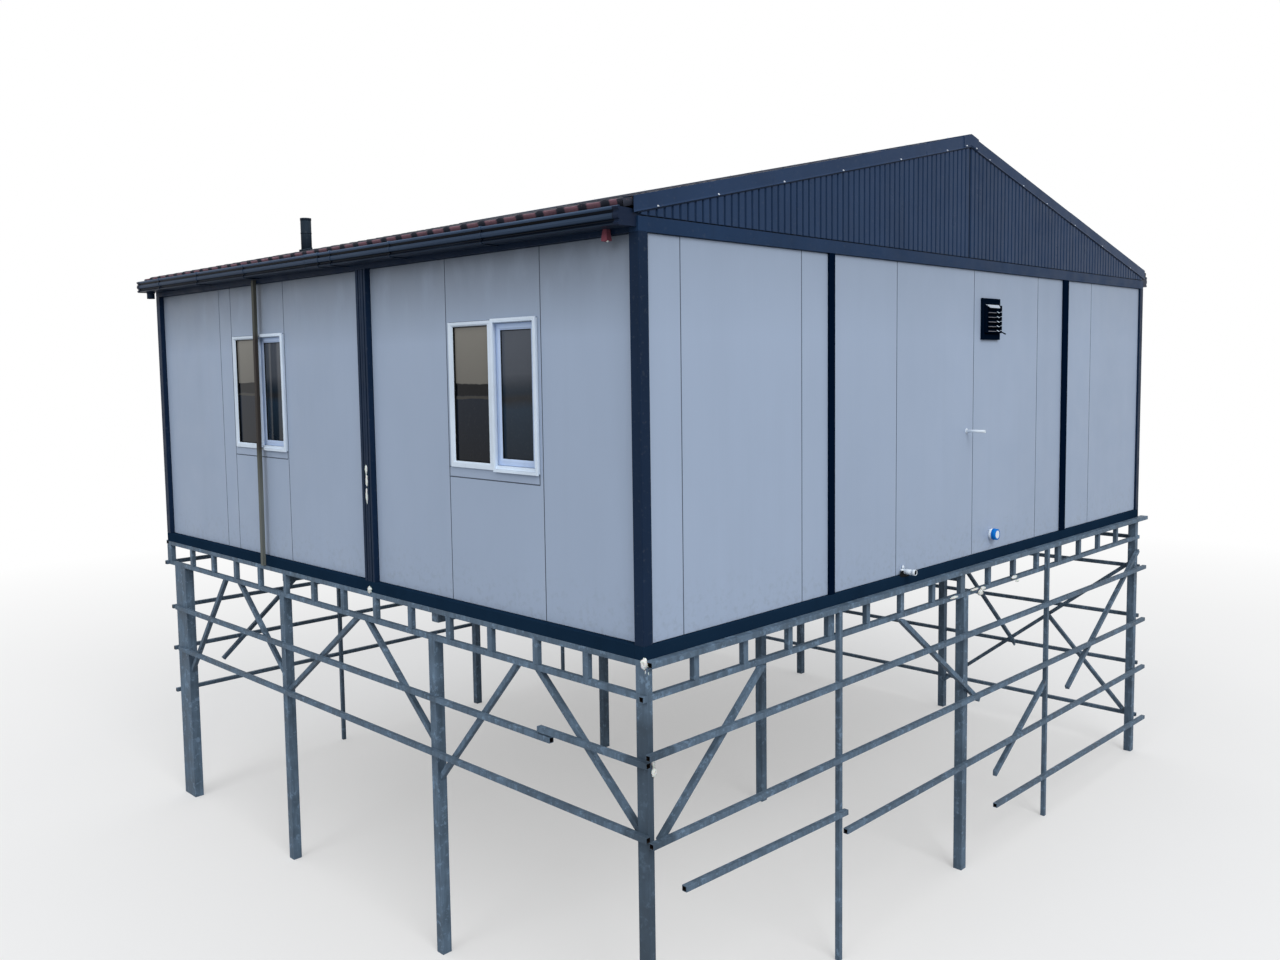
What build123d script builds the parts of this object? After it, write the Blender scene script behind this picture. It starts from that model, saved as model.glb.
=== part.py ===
from build123d import *
import math
import os

# Overall sizes of the house in millimetres
gable_length = 8050
side_length = 7070
deck_height = 2700
wall_height = 2565
roof_pitch = 12.7

# Steel frame of the house
post_size = 80
base_height = 87
beam_height = 90
strip_depth = 20
gable_strips = ((1985, 67), (6005, 110))
double_post_middle = 3068
double_post_width = 68
double_post_gap = 5

# Wall panels
panel_thickness = 50
side_recess = 45
panel_joint = 0.8
gable_seams = (381, 1636, 2892, 4147, 5403, 6658)
side_seams = (950, 2000, 4420, 5450, 5694)

# Windows, as places along the eave wall and heights above the underside of the house
window_middles = (1475, 4923)
window_width = 975
window_sill = 1070
window_head = 2105
window_bay_foot = 998
window_proud = 15
frame_depth = 60
frame_width = 60
mullion_width = 66
glass_thickness = 24
screen_depth = 12
screen_width = 475
screen_height = 1052
screen_bar = 26

# Door in the rear gable wall
door_middle = 4775
door_width = 900
door_head = 2087
door_bar = 55
door_frame_depth = 70
door_leaf_thickness = 45
door_play = 4

# Floor and ceiling
ceiling_thickness = 60

# Roof
rake_rise = 120
rake_height = 98
rake_reach = 35
rake_depth = 87
rake_cover = 20
rake_wall = 15
sheet_thickness = 35
eave_overhang = 110
cladding_thickness = 30
ridge_half_width = 127
ridge_thickness = 8
ridge_plate_thickness = 5
ridge_plate_drop = 96
ridge_beam_width = 80
ridge_beam_height = 120
king_post_size = 60
king_posts = 3
seat = 0.3

# Gutters along both eaves
gutter_width = 150
gutter_height = 110
gutter_wall = 4
gutter_top = 2705
gutter_lip_rise = 12
gutter_run_past = 100
outlet_diameter = 75
outlet_drop = 75
outlet_inset = 60

# Steel understructure that carries the house
tube = 40
truss_depth = 250
understructure_face = 20
main_post_width = 80
near_post_width = 50
near_post_depth = 95
far_post_width = 90
far_post_depth = 250
right_post_inset = 45
far_post_inset = 155
left_row_shares = (0.3106, 0.6417)
right_row_shares = (0.3338, 0.6535)
slim_post_offsets = (-1955, 1600)
chord_depth = 80
chord_inset = 10
chord_run_past = 140
lower_chord_run_past = 30
rail_run_past = 10
gable_stud_start = 455
gable_stud_end = 658
gable_stud_count = 15
side_stud_start = 529
side_stud_end = 574.6
side_stud_count = 13
stud_width = 50
wide_stud_every = 4
beam_depth = 120
brace_inset = 20

# Rails of the understructure: offsets of the ends and heights of the middle line at both ends
front_rail_starts = (-60, -40, 250, 50, -1095)
front_rail_ends = (10, 10, 60, 35, 75)
front_rail_heights = ((-566, -566), (-1118, -1168), (-1485, -1551), (-1700, -1722), (-2245, -2325))
rear_rail_start = 50
rear_rail_heights = (-733, -1184, -1648)
left_rail_starts = (850, -35)
left_rail_ends = (-50, -85)
left_rail_heights = ((-684, -684), (-1098, -1117))
short_rail_start = -44
short_rail_end = 976
short_rail_height = -632
right_rail_start = -20
right_rail_heights = (-570, -1140, -1690, -2300)

# Braces of the gable sides: offsets of the upper and the lower end, and heights of the lower ends
front_brace_offsets = ((1090, 70), (-1080, 235), (25, -1845))
front_brace_feet = (-1130, -1205, -1530)
right_brace_top = -370
front_strut_run = 1025
front_strut_heights = (-1352, -1978)
rear_brace_offsets = ((-2085, -3425), (-1285, 0), (1315, 0), (2315, 3615))
rear_brace_feet = (-1400, -1300, -1420, -1500)

# Braces of the side bays: shares of the bay at the upper ends and heights of the lower ends
left_bay_shares = ((0.452, 0.554), (0.401, 0.466), (0.42, 0.568))
left_bay_feet = ((-1106, -1300), (-1034, -1104), (-986, -1330))
right_brace_heights = (-526, -2337)
right_strut_shares = ((0, 0.409), (0.583, 1))
right_strut_heights = ((-2269, -1254), (-1687, -474))

# Small fittings of the gable wall
vent_width = 322
vent_height = 360
vent_depth = 26
vent_middle = 4427
vent_sill = 1970
stub_diameter = 104
stub_length = 70
stub_middle = 4495
stub_height = 232
spout_diameter = 48
spout_length = 120
spout_middle = 2995
spout_height = 112

# Timber strip up the eave wall
wall_strip_middle = 4858
wall_strip_width = 72
wall_strip_depth = 30

# Flue on the left roof slope
flue_diameter = 106
flue_height = 345
flue_from_eave = 1000
flue_from_front = 5720

# Values that follow from the sizes
slope = math.tan(math.radians(roof_pitch))
sheet_drop = sheet_thickness / math.cos(math.radians(roof_pitch))
ridge_middle = gable_length / 2
beam_top = wall_height + beam_height
chord_foot = -truss_depth
chord_top = chord_foot + tube
brace_face = -understructure_face - tube
rail_face = brace_face - tube
inner_length = gable_length - post_size
inner_side = side_length - post_size
outlet_place = side_length - outlet_inset

# Places of the understructure posts
middle_post = ridge_middle - main_post_width
middle_line = middle_post + main_post_width / 2
right_front_post = gable_length - right_post_inset - main_post_width
slim_left = middle_post + slim_post_offsets[0]
slim_right = middle_post + slim_post_offsets[1]
slim_posts = (slim_left, slim_right)
left_rows = [side_length * share for share in left_row_shares]
right_rows = [side_length * share for share in right_row_shares]
far_post_end = side_length - far_post_inset
near_post_end = near_post_depth - understructure_face
front_post_end = main_post_width - understructure_face

# Rails of the understructure: start, start height, end, end height of each middle line
front_starts = (0, 0, 0, slim_left, slim_right)
front_ends = (gable_length, gable_length, slim_left, gable_length, gable_length)
front_rails = [
    (base + front_rail_starts[index], heights[0], far + front_rail_ends[index], heights[1])
    for index, (base, far, heights) in enumerate(zip(front_starts, front_ends, front_rail_heights))
]
rear_rail_end = gable_length + rail_run_past
rear_rails = [(rear_rail_start, height, rear_rail_end, height) for height in rear_rail_heights]
left_rails = [
    (start, heights[0], far_post_end + run, heights[1])
    for start, run, heights in zip(left_rail_starts, left_rail_ends, left_rail_heights)
]
left_rails.append((short_rail_start, short_rail_height, short_rail_end, short_rail_height))
right_rails = [(right_rail_start, height, side_length, height) for height in right_rail_heights]

# Braces of the gable sides: upper end and lower end of each middle line
front_brace_bases = (0, middle_post, right_front_post)
front_brace_tops = (chord_foot, chord_foot, right_brace_top)
front_braces = [
    ((base + offsets[0], top), (base + offsets[1], foot))
    for base, offsets, top, foot in zip(
        front_brace_bases, front_brace_offsets, front_brace_tops, front_brace_feet
    )
]
front_strut = (
    (slim_right, front_strut_heights[0]),
    (slim_right - front_strut_run, front_strut_heights[1]),
)
rear_braces = [
    ((middle_line + offsets[0], chord_foot), (middle_line + offsets[1], foot))
    for offsets, foot in zip(rear_brace_offsets, rear_brace_feet)
]

# Bays between the posts of the left side
left_bays = (
    (near_post_end, left_rows[0]),
    (left_rows[0] + main_post_width, left_rows[1]),
    (left_rows[1] + main_post_width, far_post_end - far_post_depth),
)


def place(x, y, z):
    """A point given from the near corner of the house, in the frame of the part."""
    return (x - gable_length / 2, y - side_length / 2, z + deck_height)


def block(x0, x1, y0, y1, z0, z1):
    """A box between two corners."""
    middle = place((x0 + x1) / 2, (y0 + y1) / 2, (z0 + z1) / 2)
    return Pos(*middle) * Box(x1 - x0, y1 - y0, z1 - z0)


def both_gables(x0, x1, y0, y1, z0, z1):
    """A box at the front gable and its mirror image at the rear gable."""
    front = block(x0, x1, y0, y1, z0, z1)
    rear = block(x0, x1, side_length - y1, side_length - y0, z0, z1)
    return [front, rear]


def both_sides(x0, x1, y0, y1, z0, z1):
    """A box at the left eave and its mirror image at the right eave."""
    left = block(x0, x1, y0, y1, z0, z1)
    right = block(gable_length - x1, gable_length - x0, y0, y1, z0, z1)
    return [left, right]


def prism_along_y(points, y0, y1):
    """A solid with an outline in the plane of the gable."""
    outline = [place(x, y0, z) for x, z in points]
    face = make_face(Polyline(*outline, close=True))
    return extrude(face, amount=y1 - y0, dir=(0, 1, 0))


def prism_along_x(points, x0, x1):
    """A solid with an outline in the plane of the eave wall."""
    outline = [place(x0, y, z) for y, z in points]
    face = make_face(Polyline(*outline, close=True))
    return extrude(face, amount=x1 - x0, dir=(1, 0, 0))


def mirrored_x(points):
    """An outline in the plane of the gable, turned over at the ridge."""
    return [(gable_length - x, z) for x, z in points]


def rail_outline(start, start_height, end, end_height):
    """The outline of a rail with upright ends."""
    half = tube / 2
    upper = [(start, start_height + half), (end, end_height + half)]
    lower = [(end, end_height - half), (start, start_height - half)]
    return upper + lower


def bar_outline(upper, lower, level_top):
    """The outline of a sloping bar with a level or a square upper end."""
    run = lower[0] - upper[0]
    fall = lower[1] - upper[1]
    length = math.hypot(run, fall)
    across = (-fall / length * tube / 2, run / length * tube / 2)
    corners = []
    for side in (1, -1):
        top = (upper[0] + side * across[0], upper[1] + side * across[1])
        if level_top:
            top = (top[0] + (upper[1] - top[1]) * run / fall, upper[1])
        foot = (lower[0] + side * across[0], lower[1] + side * across[1])
        corners.append((top, foot))
    return [corners[0][0], corners[0][1], corners[1][1], corners[1][0]]


def strut_outline(start, end, level_start):
    """The outline of a sloping bar cut level or upright at its start and upright at its end."""
    run = end[0] - start[0]
    fall = end[1] - start[1]
    half = tube / 2 * math.hypot(run, fall) / abs(run)
    if level_start:
        reach = half * abs(run / fall)
        direction = math.copysign(1, run) * math.copysign(1, fall)
        first = (start[0] - direction * reach, start[1])
        second = (start[0] + direction * reach, start[1])
    else:
        first = (start[0], start[1] + half)
        second = (start[0], start[1] - half)
    return [first, (end[0], end[1] + half), (end[0], end[1] - half), second]


def rake_top(x):
    """Height of the upper edge of the rake trims."""
    return beam_top + rake_rise + slope * min(x, gable_length - x)


def sheet_top(x):
    """Height of the upper face of the roof sheets."""
    return rake_top(x) - rake_cover


def sheet_foot(x):
    """Height of the underside of the roof sheets."""
    return sheet_top(x) - sheet_drop


def main_posts():
    """Square tubes from the ground to the lower chords and to the middle floor beam."""
    foot = -deck_height
    front = -understructure_face
    near = block(0, near_post_width, front, front + near_post_depth, foot, chord_foot)
    right = right_front_post + main_post_width
    corner = block(right_front_post, right, front, front + main_post_width, foot, chord_foot)
    posts = [near, corner]
    middle_end = middle_post + main_post_width
    posts += both_gables(middle_post, middle_end, front, front + main_post_width, foot, chord_foot)
    for row in left_rows:
        posts.append(block(0, main_post_width, row, row + main_post_width, foot, chord_foot))
        posts.append(block(middle_post, middle_end, row, row + main_post_width, foot, -beam_depth))
    for row in right_rows:
        inner = gable_length - main_post_width
        posts.append(block(inner, gable_length, row, row + main_post_width, foot, chord_foot))
    start = far_post_end - far_post_depth
    posts += both_sides(0, far_post_width, start, far_post_end, foot, chord_foot)
    return posts


def slim_post_pair():
    """Slender posts in front of the lower chords."""
    posts = []
    for x in slim_posts:
        posts += both_gables(x, x + tube, brace_face, -understructure_face, -deck_height, -tube)
    return posts


def gable_upper_chords():
    start = understructure_face - chord_depth
    end = gable_length + chord_run_past
    return both_gables(chord_inset, end, start, understructure_face, -tube, 0)


def side_upper_chords():
    return both_sides(0, tube, understructure_face, side_length - understructure_face, -tube, 0)


def gable_lower_chords():
    start = -lower_chord_run_past
    end = gable_length + rail_run_past
    return both_gables(start, end, -understructure_face, understructure_face, chord_foot, chord_top)


def side_lower_chords():
    end = side_length - understructure_face
    return both_sides(0, tube, understructure_face, end, chord_foot, chord_top)


def gable_studs():
    """Short uprights between the chords, every fourth one a wide stub of a post."""
    studs = []
    pitch = (gable_length - gable_stud_start - gable_stud_end) / (gable_stud_count - 1)
    for index in range(gable_stud_count):
        middle = gable_stud_start + index * pitch
        wide = index % wide_stud_every == wide_stud_every - 1
        half = main_post_width / 2 if wide else stud_width / 2
        face = understructure_face
        studs += both_gables(middle - half, middle + half, -face, face, chord_top, -tube)
    front = -understructure_face
    studs += both_gables(0, near_post_width, front, front + near_post_depth, chord_top, -tube)
    right = right_front_post + main_post_width
    studs += both_gables(right_front_post, right, front, front + main_post_width, chord_top, -tube)
    return studs


def side_studs():
    """Short uprights between the chords of the eave sides."""
    studs = []
    pitch = (side_length - side_stud_start - side_stud_end) / (side_stud_count - 1)
    for index in range(side_stud_count):
        middle = side_stud_start + index * pitch
        half = stud_width / 2
        studs += both_sides(0, tube, middle - half, middle + half, chord_top, -tube)
    return studs


def gable_rails():
    """Long rails across the front and the rear of the understructure."""
    rails = [prism_along_y(rail_outline(*rail), rail_face, brace_face) for rail in front_rails]
    start = side_length - brace_face
    end = side_length - rail_face
    rails += [prism_along_y(rail_outline(*rail), start, end) for rail in rear_rails]
    return rails


def side_rails():
    """Long rails along both eave sides of the understructure."""
    rails = [prism_along_x(rail_outline(*rail), -tube, 0) for rail in left_rails]
    end = gable_length + tube
    rails += [prism_along_x(rail_outline(*rail), gable_length, end) for rail in right_rails]
    return rails


def gable_braces():
    """Sloping tubes between the posts and the rails of the front and the rear."""
    braces = []
    for upper, lower in front_braces:
        outline = bar_outline(upper, lower, upper[1] == chord_foot)
        braces.append(prism_along_y(outline, brace_face, -understructure_face))
    strut = strut_outline(*front_strut, False)
    braces.append(prism_along_y(strut, brace_face, -understructure_face))
    start = side_length + understructure_face
    for upper, lower in rear_braces:
        outline = bar_outline(upper, lower, upper[1] == chord_foot)
        braces.append(prism_along_y(outline, start, start + tube))
    return braces


def side_braces():
    """Sloping tubes in the bays of both eave sides."""
    inner = brace_inset + tube
    braces = []
    for bay, shares, feet in zip(left_bays, left_bay_shares, left_bay_feet):
        for face, share, foot in zip(bay, shares, feet):
            top = (bay[0] + share * (bay[1] - bay[0]), chord_foot)
            outline = strut_outline(top, (face, foot), True)
            braces.append(prism_along_x(outline, brace_inset, inner))
    start = gable_length - inner
    brace = strut_outline(*right_bay_line((0, 1), right_brace_heights), False)
    braces.append(prism_along_x(brace, start, gable_length - brace_inset))
    for shares, heights in zip(right_strut_shares, right_strut_heights):
        strut = strut_outline(*right_bay_line(shares, heights), False)
        braces.append(prism_along_x(strut, start - tube - seat, start - seat))
    return braces


def right_bay_line(shares, heights):
    """Middle line of a bar in the first bay of the right side."""
    bay = right_rows[0] - front_post_end
    return [(front_post_end + share * bay, height) for share, height in zip(shares, heights)]


def long_floor_beam():
    end = middle_post + main_post_width
    far = side_length - understructure_face
    return [block(middle_post, end, understructure_face, far, -beam_depth, 0)]


def cross_floor_beams():
    """Beams under the floor from the eave chords to the long beam."""
    beams = []
    right_start = middle_post + main_post_width
    for row in left_rows:
        end = row + main_post_width
        beams.append(block(tube, middle_post, row, end, -beam_depth, 0))
        beams.append(block(right_start, gable_length - tube, row, end, -beam_depth, 0))
    return beams


def gable_base_rails():
    return both_gables(0, gable_length, 0, post_size, 0, base_height)


def side_base_rails():
    return both_sides(0, post_size, post_size, inner_side, 0, base_height)


def floor_panel():
    return [block(post_size, inner_length, post_size, inner_side, 0, base_height)]


def corner_posts():
    posts = both_sides(0, post_size, 0, post_size, base_height, wall_height)
    posts += both_sides(0, post_size, inner_side, side_length, base_height, wall_height)
    return posts


def gable_wall_strips():
    """Upright cover strips on the gable walls."""
    strips = []
    for middle, width in gable_strips:
        half = width / 2
        strips += both_gables(middle - half, middle + half, 0, strip_depth, base_height, wall_height)
    return strips


def double_post_edges():
    """Outer edges of the pair of posts in the eave walls."""
    reach = double_post_gap / 2 + double_post_width
    return double_post_middle - reach, double_post_middle + reach


def side_wall_posts():
    """Pairs of posts where two units of the house meet."""
    low, high = double_post_edges()
    posts = both_sides(0, post_size, low, low + double_post_width, base_height, wall_height)
    posts += both_sides(0, post_size, high - double_post_width, high, base_height, wall_height)
    return posts


def split(start, end, seams):
    """Stretches of wall between the seams that lie from start to end."""
    cuts = [start] + [seam for seam in seams if start < seam < end] + [end]
    stretches = []
    for low, high in zip(cuts, cuts[1:]):
        low_gap = panel_joint / 2 if low != start else 0
        high_gap = panel_joint / 2 if high != end else 0
        stretches.append((low + low_gap, high - high_gap))
    return stretches


def front_wall():
    """Sandwich panels of the front gable wall."""
    inner = strip_depth + panel_thickness
    stretches = split(post_size, inner_length, gable_seams)
    return [block(low, high, strip_depth, inner, base_height, wall_height) for low, high in stretches]


def rear_wall():
    """Sandwich panels of the rear gable wall, with the doorway cut through."""
    outer = side_length - strip_depth
    inner = outer - panel_thickness
    door_left = door_middle - door_width / 2
    door_right = door_middle + door_width / 2
    panels = []
    for low, high in split(post_size, inner_length, gable_seams):
        if low < door_middle < high:
            panels.append(block(low, door_left, inner, outer, base_height, wall_height))
            panels.append(block(door_right, high, inner, outer, base_height, wall_height))
            head = door_head + panel_joint
            left = door_left + panel_joint
            right = door_right - panel_joint
            panels.append(block(left, right, inner, outer, head, wall_height))
        else:
            panels.append(block(low, high, inner, outer, base_height, wall_height))
    return panels


def side_wall():
    """Sandwich panels of both eave walls, with the window openings cut through."""
    inner = side_recess + panel_thickness
    low_post, high_post = double_post_edges()
    half = window_width / 2
    panels = []
    stretches = split(post_size, low_post, side_seams) + split(high_post, inner_side, side_seams)
    for low, high in stretches:
        middles = [middle for middle in window_middles if low < middle < high]
        if not middles:
            panels.append(both_sides(side_recess, inner, low, high, base_height, wall_height))
            continue
        left = middles[0] - half
        right = middles[0] + half
        foot = window_bay_foot - panel_joint
        whole = both_sides(side_recess, inner, low, high, base_height, wall_height)
        opening = both_sides(side_recess, inner, left, right, window_sill, window_head)
        notch = both_sides(side_recess, inner, left, high, foot, window_sill)
        panels.append([sheet - hole - gap for sheet, hole, gap in zip(whole, opening, notch)])
        start = left + panel_joint
        panels.append(both_sides(side_recess, inner, start, high, window_bay_foot, window_sill))
    return panels


def left_wall():
    return [pair[0] for pair in side_wall()]


def right_wall():
    return [pair[1] for pair in side_wall()]


def window_frames():
    """Window frames, each with an opening for either light."""
    outer = side_recess - window_proud
    inner = outer + frame_depth
    foot = window_sill + frame_width
    head = window_head - frame_width
    frames = []
    for middle in window_middles:
        low = middle - window_width / 2
        high = middle + window_width / 2
        rings = both_sides(outer, inner, low, high, window_sill, window_head)
        mullion = mullion_width / 2
        near = both_sides(outer, inner, low + frame_width, middle - mullion, foot, head)
        far = both_sides(outer, inner, middle + mullion, high - frame_width, foot, head)
        for ring, light_1, light_2 in zip(rings, near, far):
            frames.append(ring - light_1 - light_2)
    return frames


def window_glass():
    """Double glazing in both lights of each window."""
    outer = side_recess - window_proud + (frame_depth - glass_thickness) / 2
    inner = outer + glass_thickness
    foot = window_sill + frame_width
    head = window_head - frame_width
    panes = []
    for middle in window_middles:
        low = middle - window_width / 2 + frame_width
        high = middle + window_width / 2 - frame_width
        mullion = mullion_width / 2
        panes += both_sides(outer, inner, low, middle - mullion, foot, head)
        panes += both_sides(outer, inner, middle + mullion, high, foot, head)
    return panes


def screen_frames():
    """Fly-screen frames on the outside of the lights nearer the front gable."""
    inner = side_recess - window_proud
    outer = inner - screen_depth
    height_middle = (window_sill + window_head) / 2
    foot = height_middle - screen_height / 2
    head = height_middle + screen_height / 2
    frames = []
    for middle in window_middles:
        low = middle - window_width / 2 - screen_bar / 4
        high = low + screen_width
        rings = both_sides(outer, inner, low, high, foot, head)
        light_low = low + screen_bar
        light_high = high - screen_bar
        light_foot = foot + screen_bar
        light_head = head - screen_bar
        lights = both_sides(outer, inner, light_low, light_high, light_foot, light_head)
        frames += [ring - light for ring, light in zip(rings, lights)]
    return frames


def door_faces():
    """Outer and inner face of the door frame in the rear wall."""
    outer = side_length - strip_depth
    return outer - door_frame_depth, outer


def door_frame():
    """Two jambs and a head around the doorway."""
    inner, outer = door_faces()
    left = door_middle - door_width / 2
    right = door_middle + door_width / 2
    whole = block(left, right, inner, outer, base_height, door_head)
    way = block(left + door_bar, right - door_bar, inner, outer, base_height, door_head - door_bar)
    return [whole - way]


def rear_door():
    """Closed door leaf on the threshold."""
    inner, outer = door_faces()
    front = (inner + outer - door_leaf_thickness) / 2
    left = door_middle - door_width / 2 + door_bar + seat
    right = door_middle + door_width / 2 - door_bar - door_play
    head = door_head - door_bar - door_play
    return [block(left, right, front, front + door_leaf_thickness, base_height, head)]


def gable_top_beams():
    return both_gables(0, gable_length, 0, post_size, wall_height, beam_top)


def side_top_beams():
    """Eave beams with an upper face cut to the roof slope."""
    left = [(0, wall_height), (post_size, wall_height)]
    left += [(post_size, sheet_foot(post_size) - seat), (0, sheet_foot(0) - seat)]
    return [
        prism_along_y(left, post_size, inner_side),
        prism_along_y(mirrored_x(left), post_size, inner_side),
    ]


def ceiling_panel():
    top = wall_height + ceiling_thickness
    return [block(post_size, inner_length, post_size, inner_side, wall_height, top)]


def gable_cladding():
    """Sheet cladding of both gable triangles."""
    eave = sheet_foot(0) - seat
    ridge = sheet_foot(ridge_middle) - seat
    outline = [(0, beam_top), (gable_length, beam_top), (gable_length, eave)]
    outline += [(ridge_middle, ridge), (0, eave)]
    far = side_length - rake_wall
    return [
        prism_along_y(outline, rake_wall, rake_wall + cladding_thickness),
        prism_along_y(outline, far - cladding_thickness, far),
    ]


def slope_outline(start, end, top, drop):
    """A sloping band of one vertical depth on the left half of the roof."""
    upper = [(start, top(start)), (end, top(end))]
    lower = [(end, top(end) - drop), (start, top(start) - drop)]
    return upper + lower


def rake_trims():
    """Angle trims over the ends of the roof sheets, one for each slope of each gable."""
    end = ridge_middle - panel_joint / 2
    wall = rake_wall
    ends = (
        (-rake_reach, 0, wall, wall, rake_depth),
        (0, side_length - wall, side_length, side_length - rake_depth, side_length - wall),
    )
    trims = []
    for start, face_start, face_end, cover_start, cover_end in ends:
        face = slope_outline(start, end, rake_top, rake_height)
        cover = slope_outline(start, end, rake_top, rake_cover - seat)
        left = prism_along_y(face, face_start, face_end)
        left += prism_along_y(cover, cover_start, cover_end)
        right = prism_along_y(mirrored_x(face), face_start, face_end)
        right += prism_along_y(mirrored_x(cover), cover_start, cover_end)
        trims += [left, right]
    return trims


def left_roof_sheet():
    outline = slope_outline(-eave_overhang, ridge_middle, sheet_top, sheet_drop)
    return [prism_along_y(outline, rake_wall, side_length - rake_wall)]


def right_roof_sheet():
    outline = slope_outline(-eave_overhang, ridge_middle, sheet_top, sheet_drop)
    return [prism_along_y(mirrored_x(outline), rake_wall, side_length - rake_wall)]


def ridge_beam():
    """Beam under the meeting line of the roof sheets."""
    half = ridge_beam_width / 2
    top = sheet_foot(ridge_middle - half) - seat
    start = rake_wall + cladding_thickness
    return [block(
        ridge_middle - half, ridge_middle + half,
        start, side_length - start,
        top - ridge_beam_height, top,
    )]


def king_post_row():
    """Posts between the ceiling and the ridge beam."""
    half = king_post_size / 2
    foot = wall_height + ceiling_thickness
    top = sheet_foot(ridge_middle - ridge_beam_width / 2) - seat - ridge_beam_height
    posts = []
    for index in range(king_posts):
        y = side_length * (index + 1) / (king_posts + 1)
        posts.append(block(ridge_middle - half, ridge_middle + half, y - half, y + half, foot, top))
    return posts


def ridge_cap():
    """Folded cap over the ridge with a plate at either end."""
    left = ridge_middle - ridge_half_width
    right = ridge_middle + ridge_half_width
    foot = rake_top(left) + seat
    peak = rake_top(ridge_middle) + seat
    upper = [(left, foot + ridge_thickness), (ridge_middle, peak + ridge_thickness)]
    upper.append((right, foot + ridge_thickness))
    cap = prism_along_y(upper + [(right, foot), (ridge_middle, peak), (left, foot)], 0, side_length)
    plate = upper + [(right, foot - ridge_plate_drop), (left, foot - ridge_plate_drop)]
    cap += prism_along_y(plate, -ridge_plate_thickness, 0)
    cap += prism_along_y(plate, side_length, side_length + ridge_plate_thickness)
    return [cap]


def gutters():
    """Box gutters with a raised outer lip along both eaves, each with an outlet near its rear end."""
    end = side_length + gutter_run_past
    foot = gutter_top - gutter_height
    start = rake_wall + seat
    shells = both_sides(-gutter_width, 0, start, end, foot, gutter_top)
    wall = gutter_wall
    low = start + wall
    hollows = both_sides(wall - gutter_width, -wall, low, end - wall, foot + wall, gutter_top)
    back_top = gutter_top - gutter_lip_rise
    cuts = both_sides(wall - gutter_width, 0, start, end, back_top, gutter_top)
    troughs = []
    outlet_middles = (-gutter_width / 2, gable_length + gutter_width / 2)
    for shell, hollow, cut, x in zip(shells, hollows, cuts, outlet_middles):
        top = place(x, outlet_place, foot)
        outer = Pos(top[0], top[1], top[2] - outlet_drop / 2)
        outer = outer * Cylinder(outlet_diameter / 2, outlet_drop)
        bore = Pos(top[0], top[1], top[2] - outlet_drop / 2 + wall)
        bore = bore * Cylinder(outlet_diameter / 2 - wall, outlet_drop + 2 * wall)
        troughs.append(shell + outer - hollow - bore - cut)
    return troughs


def wall_strip():
    half = wall_strip_width / 2
    low = wall_strip_middle - half
    high = wall_strip_middle + half
    return [block(-wall_strip_depth, 0, low, high, 0, gutter_top - gutter_height)]


def flue_pipe():
    """Round pipe that stands on the left roof slope."""
    foot = sheet_top(flue_from_eave)
    centre = place(flue_from_eave, flue_from_front, foot)
    deep = flue_diameter
    pipe = Pos(centre[0], centre[1], centre[2] + (flue_height - deep) / 2)
    pipe = pipe * Cylinder(flue_diameter / 2, flue_height + deep)
    reach = flue_diameter
    low = flue_from_eave - reach
    high = flue_from_eave + reach
    under = [(low, sheet_top(low)), (high, sheet_top(high)), (high, foot - 2 * deep)]
    under.append((low, foot - 2 * deep))
    cut = prism_along_y(under, flue_from_front - reach, flue_from_front + reach)
    return [pipe - cut]


def wall_vent():
    """Ventilation grille on the front gable wall."""
    half = vent_width / 2
    top = vent_sill + vent_height
    face = strip_depth - vent_depth
    return [block(vent_middle - half, vent_middle + half, face, strip_depth, vent_sill, top)]


def pipe_stub():
    """Short pipe end through the front gable wall."""
    centre = place(stub_middle, strip_depth - stub_length / 2, stub_height)
    return [Pos(*centre) * Rot(90, 0, 0) * Cylinder(stub_diameter / 2, stub_length)]


def drain_spout():
    """Drain pipe that stands out over the base rail of the front gable wall."""
    centre = place(spout_middle, strip_depth - spout_length / 2, spout_height)
    return [Pos(*centre) * Rot(90, 0, 0) * Cylinder(spout_diameter / 2, spout_length)]


def save(name, solids):
    """Write the solids of one sub-part to its own file."""
    shape = solids[0] if len(solids) == 1 else Compound(children=solids)
    export_step(shape, os.path.join("parts", name + ".step"))


sub_parts = {
    "main_posts": main_posts,
    "slim_posts": slim_post_pair,
    "gable_upper_chords": gable_upper_chords,
    "side_upper_chords": side_upper_chords,
    "gable_lower_chords": gable_lower_chords,
    "side_lower_chords": side_lower_chords,
    "gable_studs": gable_studs,
    "side_studs": side_studs,
    "gable_rails": gable_rails,
    "side_rails": side_rails,
    "gable_braces": gable_braces,
    "side_braces": side_braces,
    "long_floor_beam": long_floor_beam,
    "cross_floor_beams": cross_floor_beams,
    "gable_base_rails": gable_base_rails,
    "side_base_rails": side_base_rails,
    "floor_panel": floor_panel,
    "corner_posts": corner_posts,
    "gable_wall_strips": gable_wall_strips,
    "side_wall_posts": side_wall_posts,
    "front_wall": front_wall,
    "rear_wall": rear_wall,
    "left_wall": left_wall,
    "right_wall": right_wall,
    "window_frames": window_frames,
    "window_glass": window_glass,
    "screen_frames": screen_frames,
    "door_frame": door_frame,
    "rear_door": rear_door,
    "gable_top_beams": gable_top_beams,
    "side_top_beams": side_top_beams,
    "ceiling_panel": ceiling_panel,
    "gable_cladding": gable_cladding,
    "rake_trims": rake_trims,
    "left_roof_sheet": left_roof_sheet,
    "right_roof_sheet": right_roof_sheet,
    "ridge_beam": ridge_beam,
    "king_posts": king_post_row,
    "ridge_cap": ridge_cap,
    "gutters": gutters,
    "wall_strip": wall_strip,
    "flue_pipe": flue_pipe,
    "wall_vent": wall_vent,
    "pipe_stub": pipe_stub,
    "drain_spout": drain_spout,
}

os.makedirs("parts", exist_ok=True)
for part_name, make in sub_parts.items():
    save(part_name, make())
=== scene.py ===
import math

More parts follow.
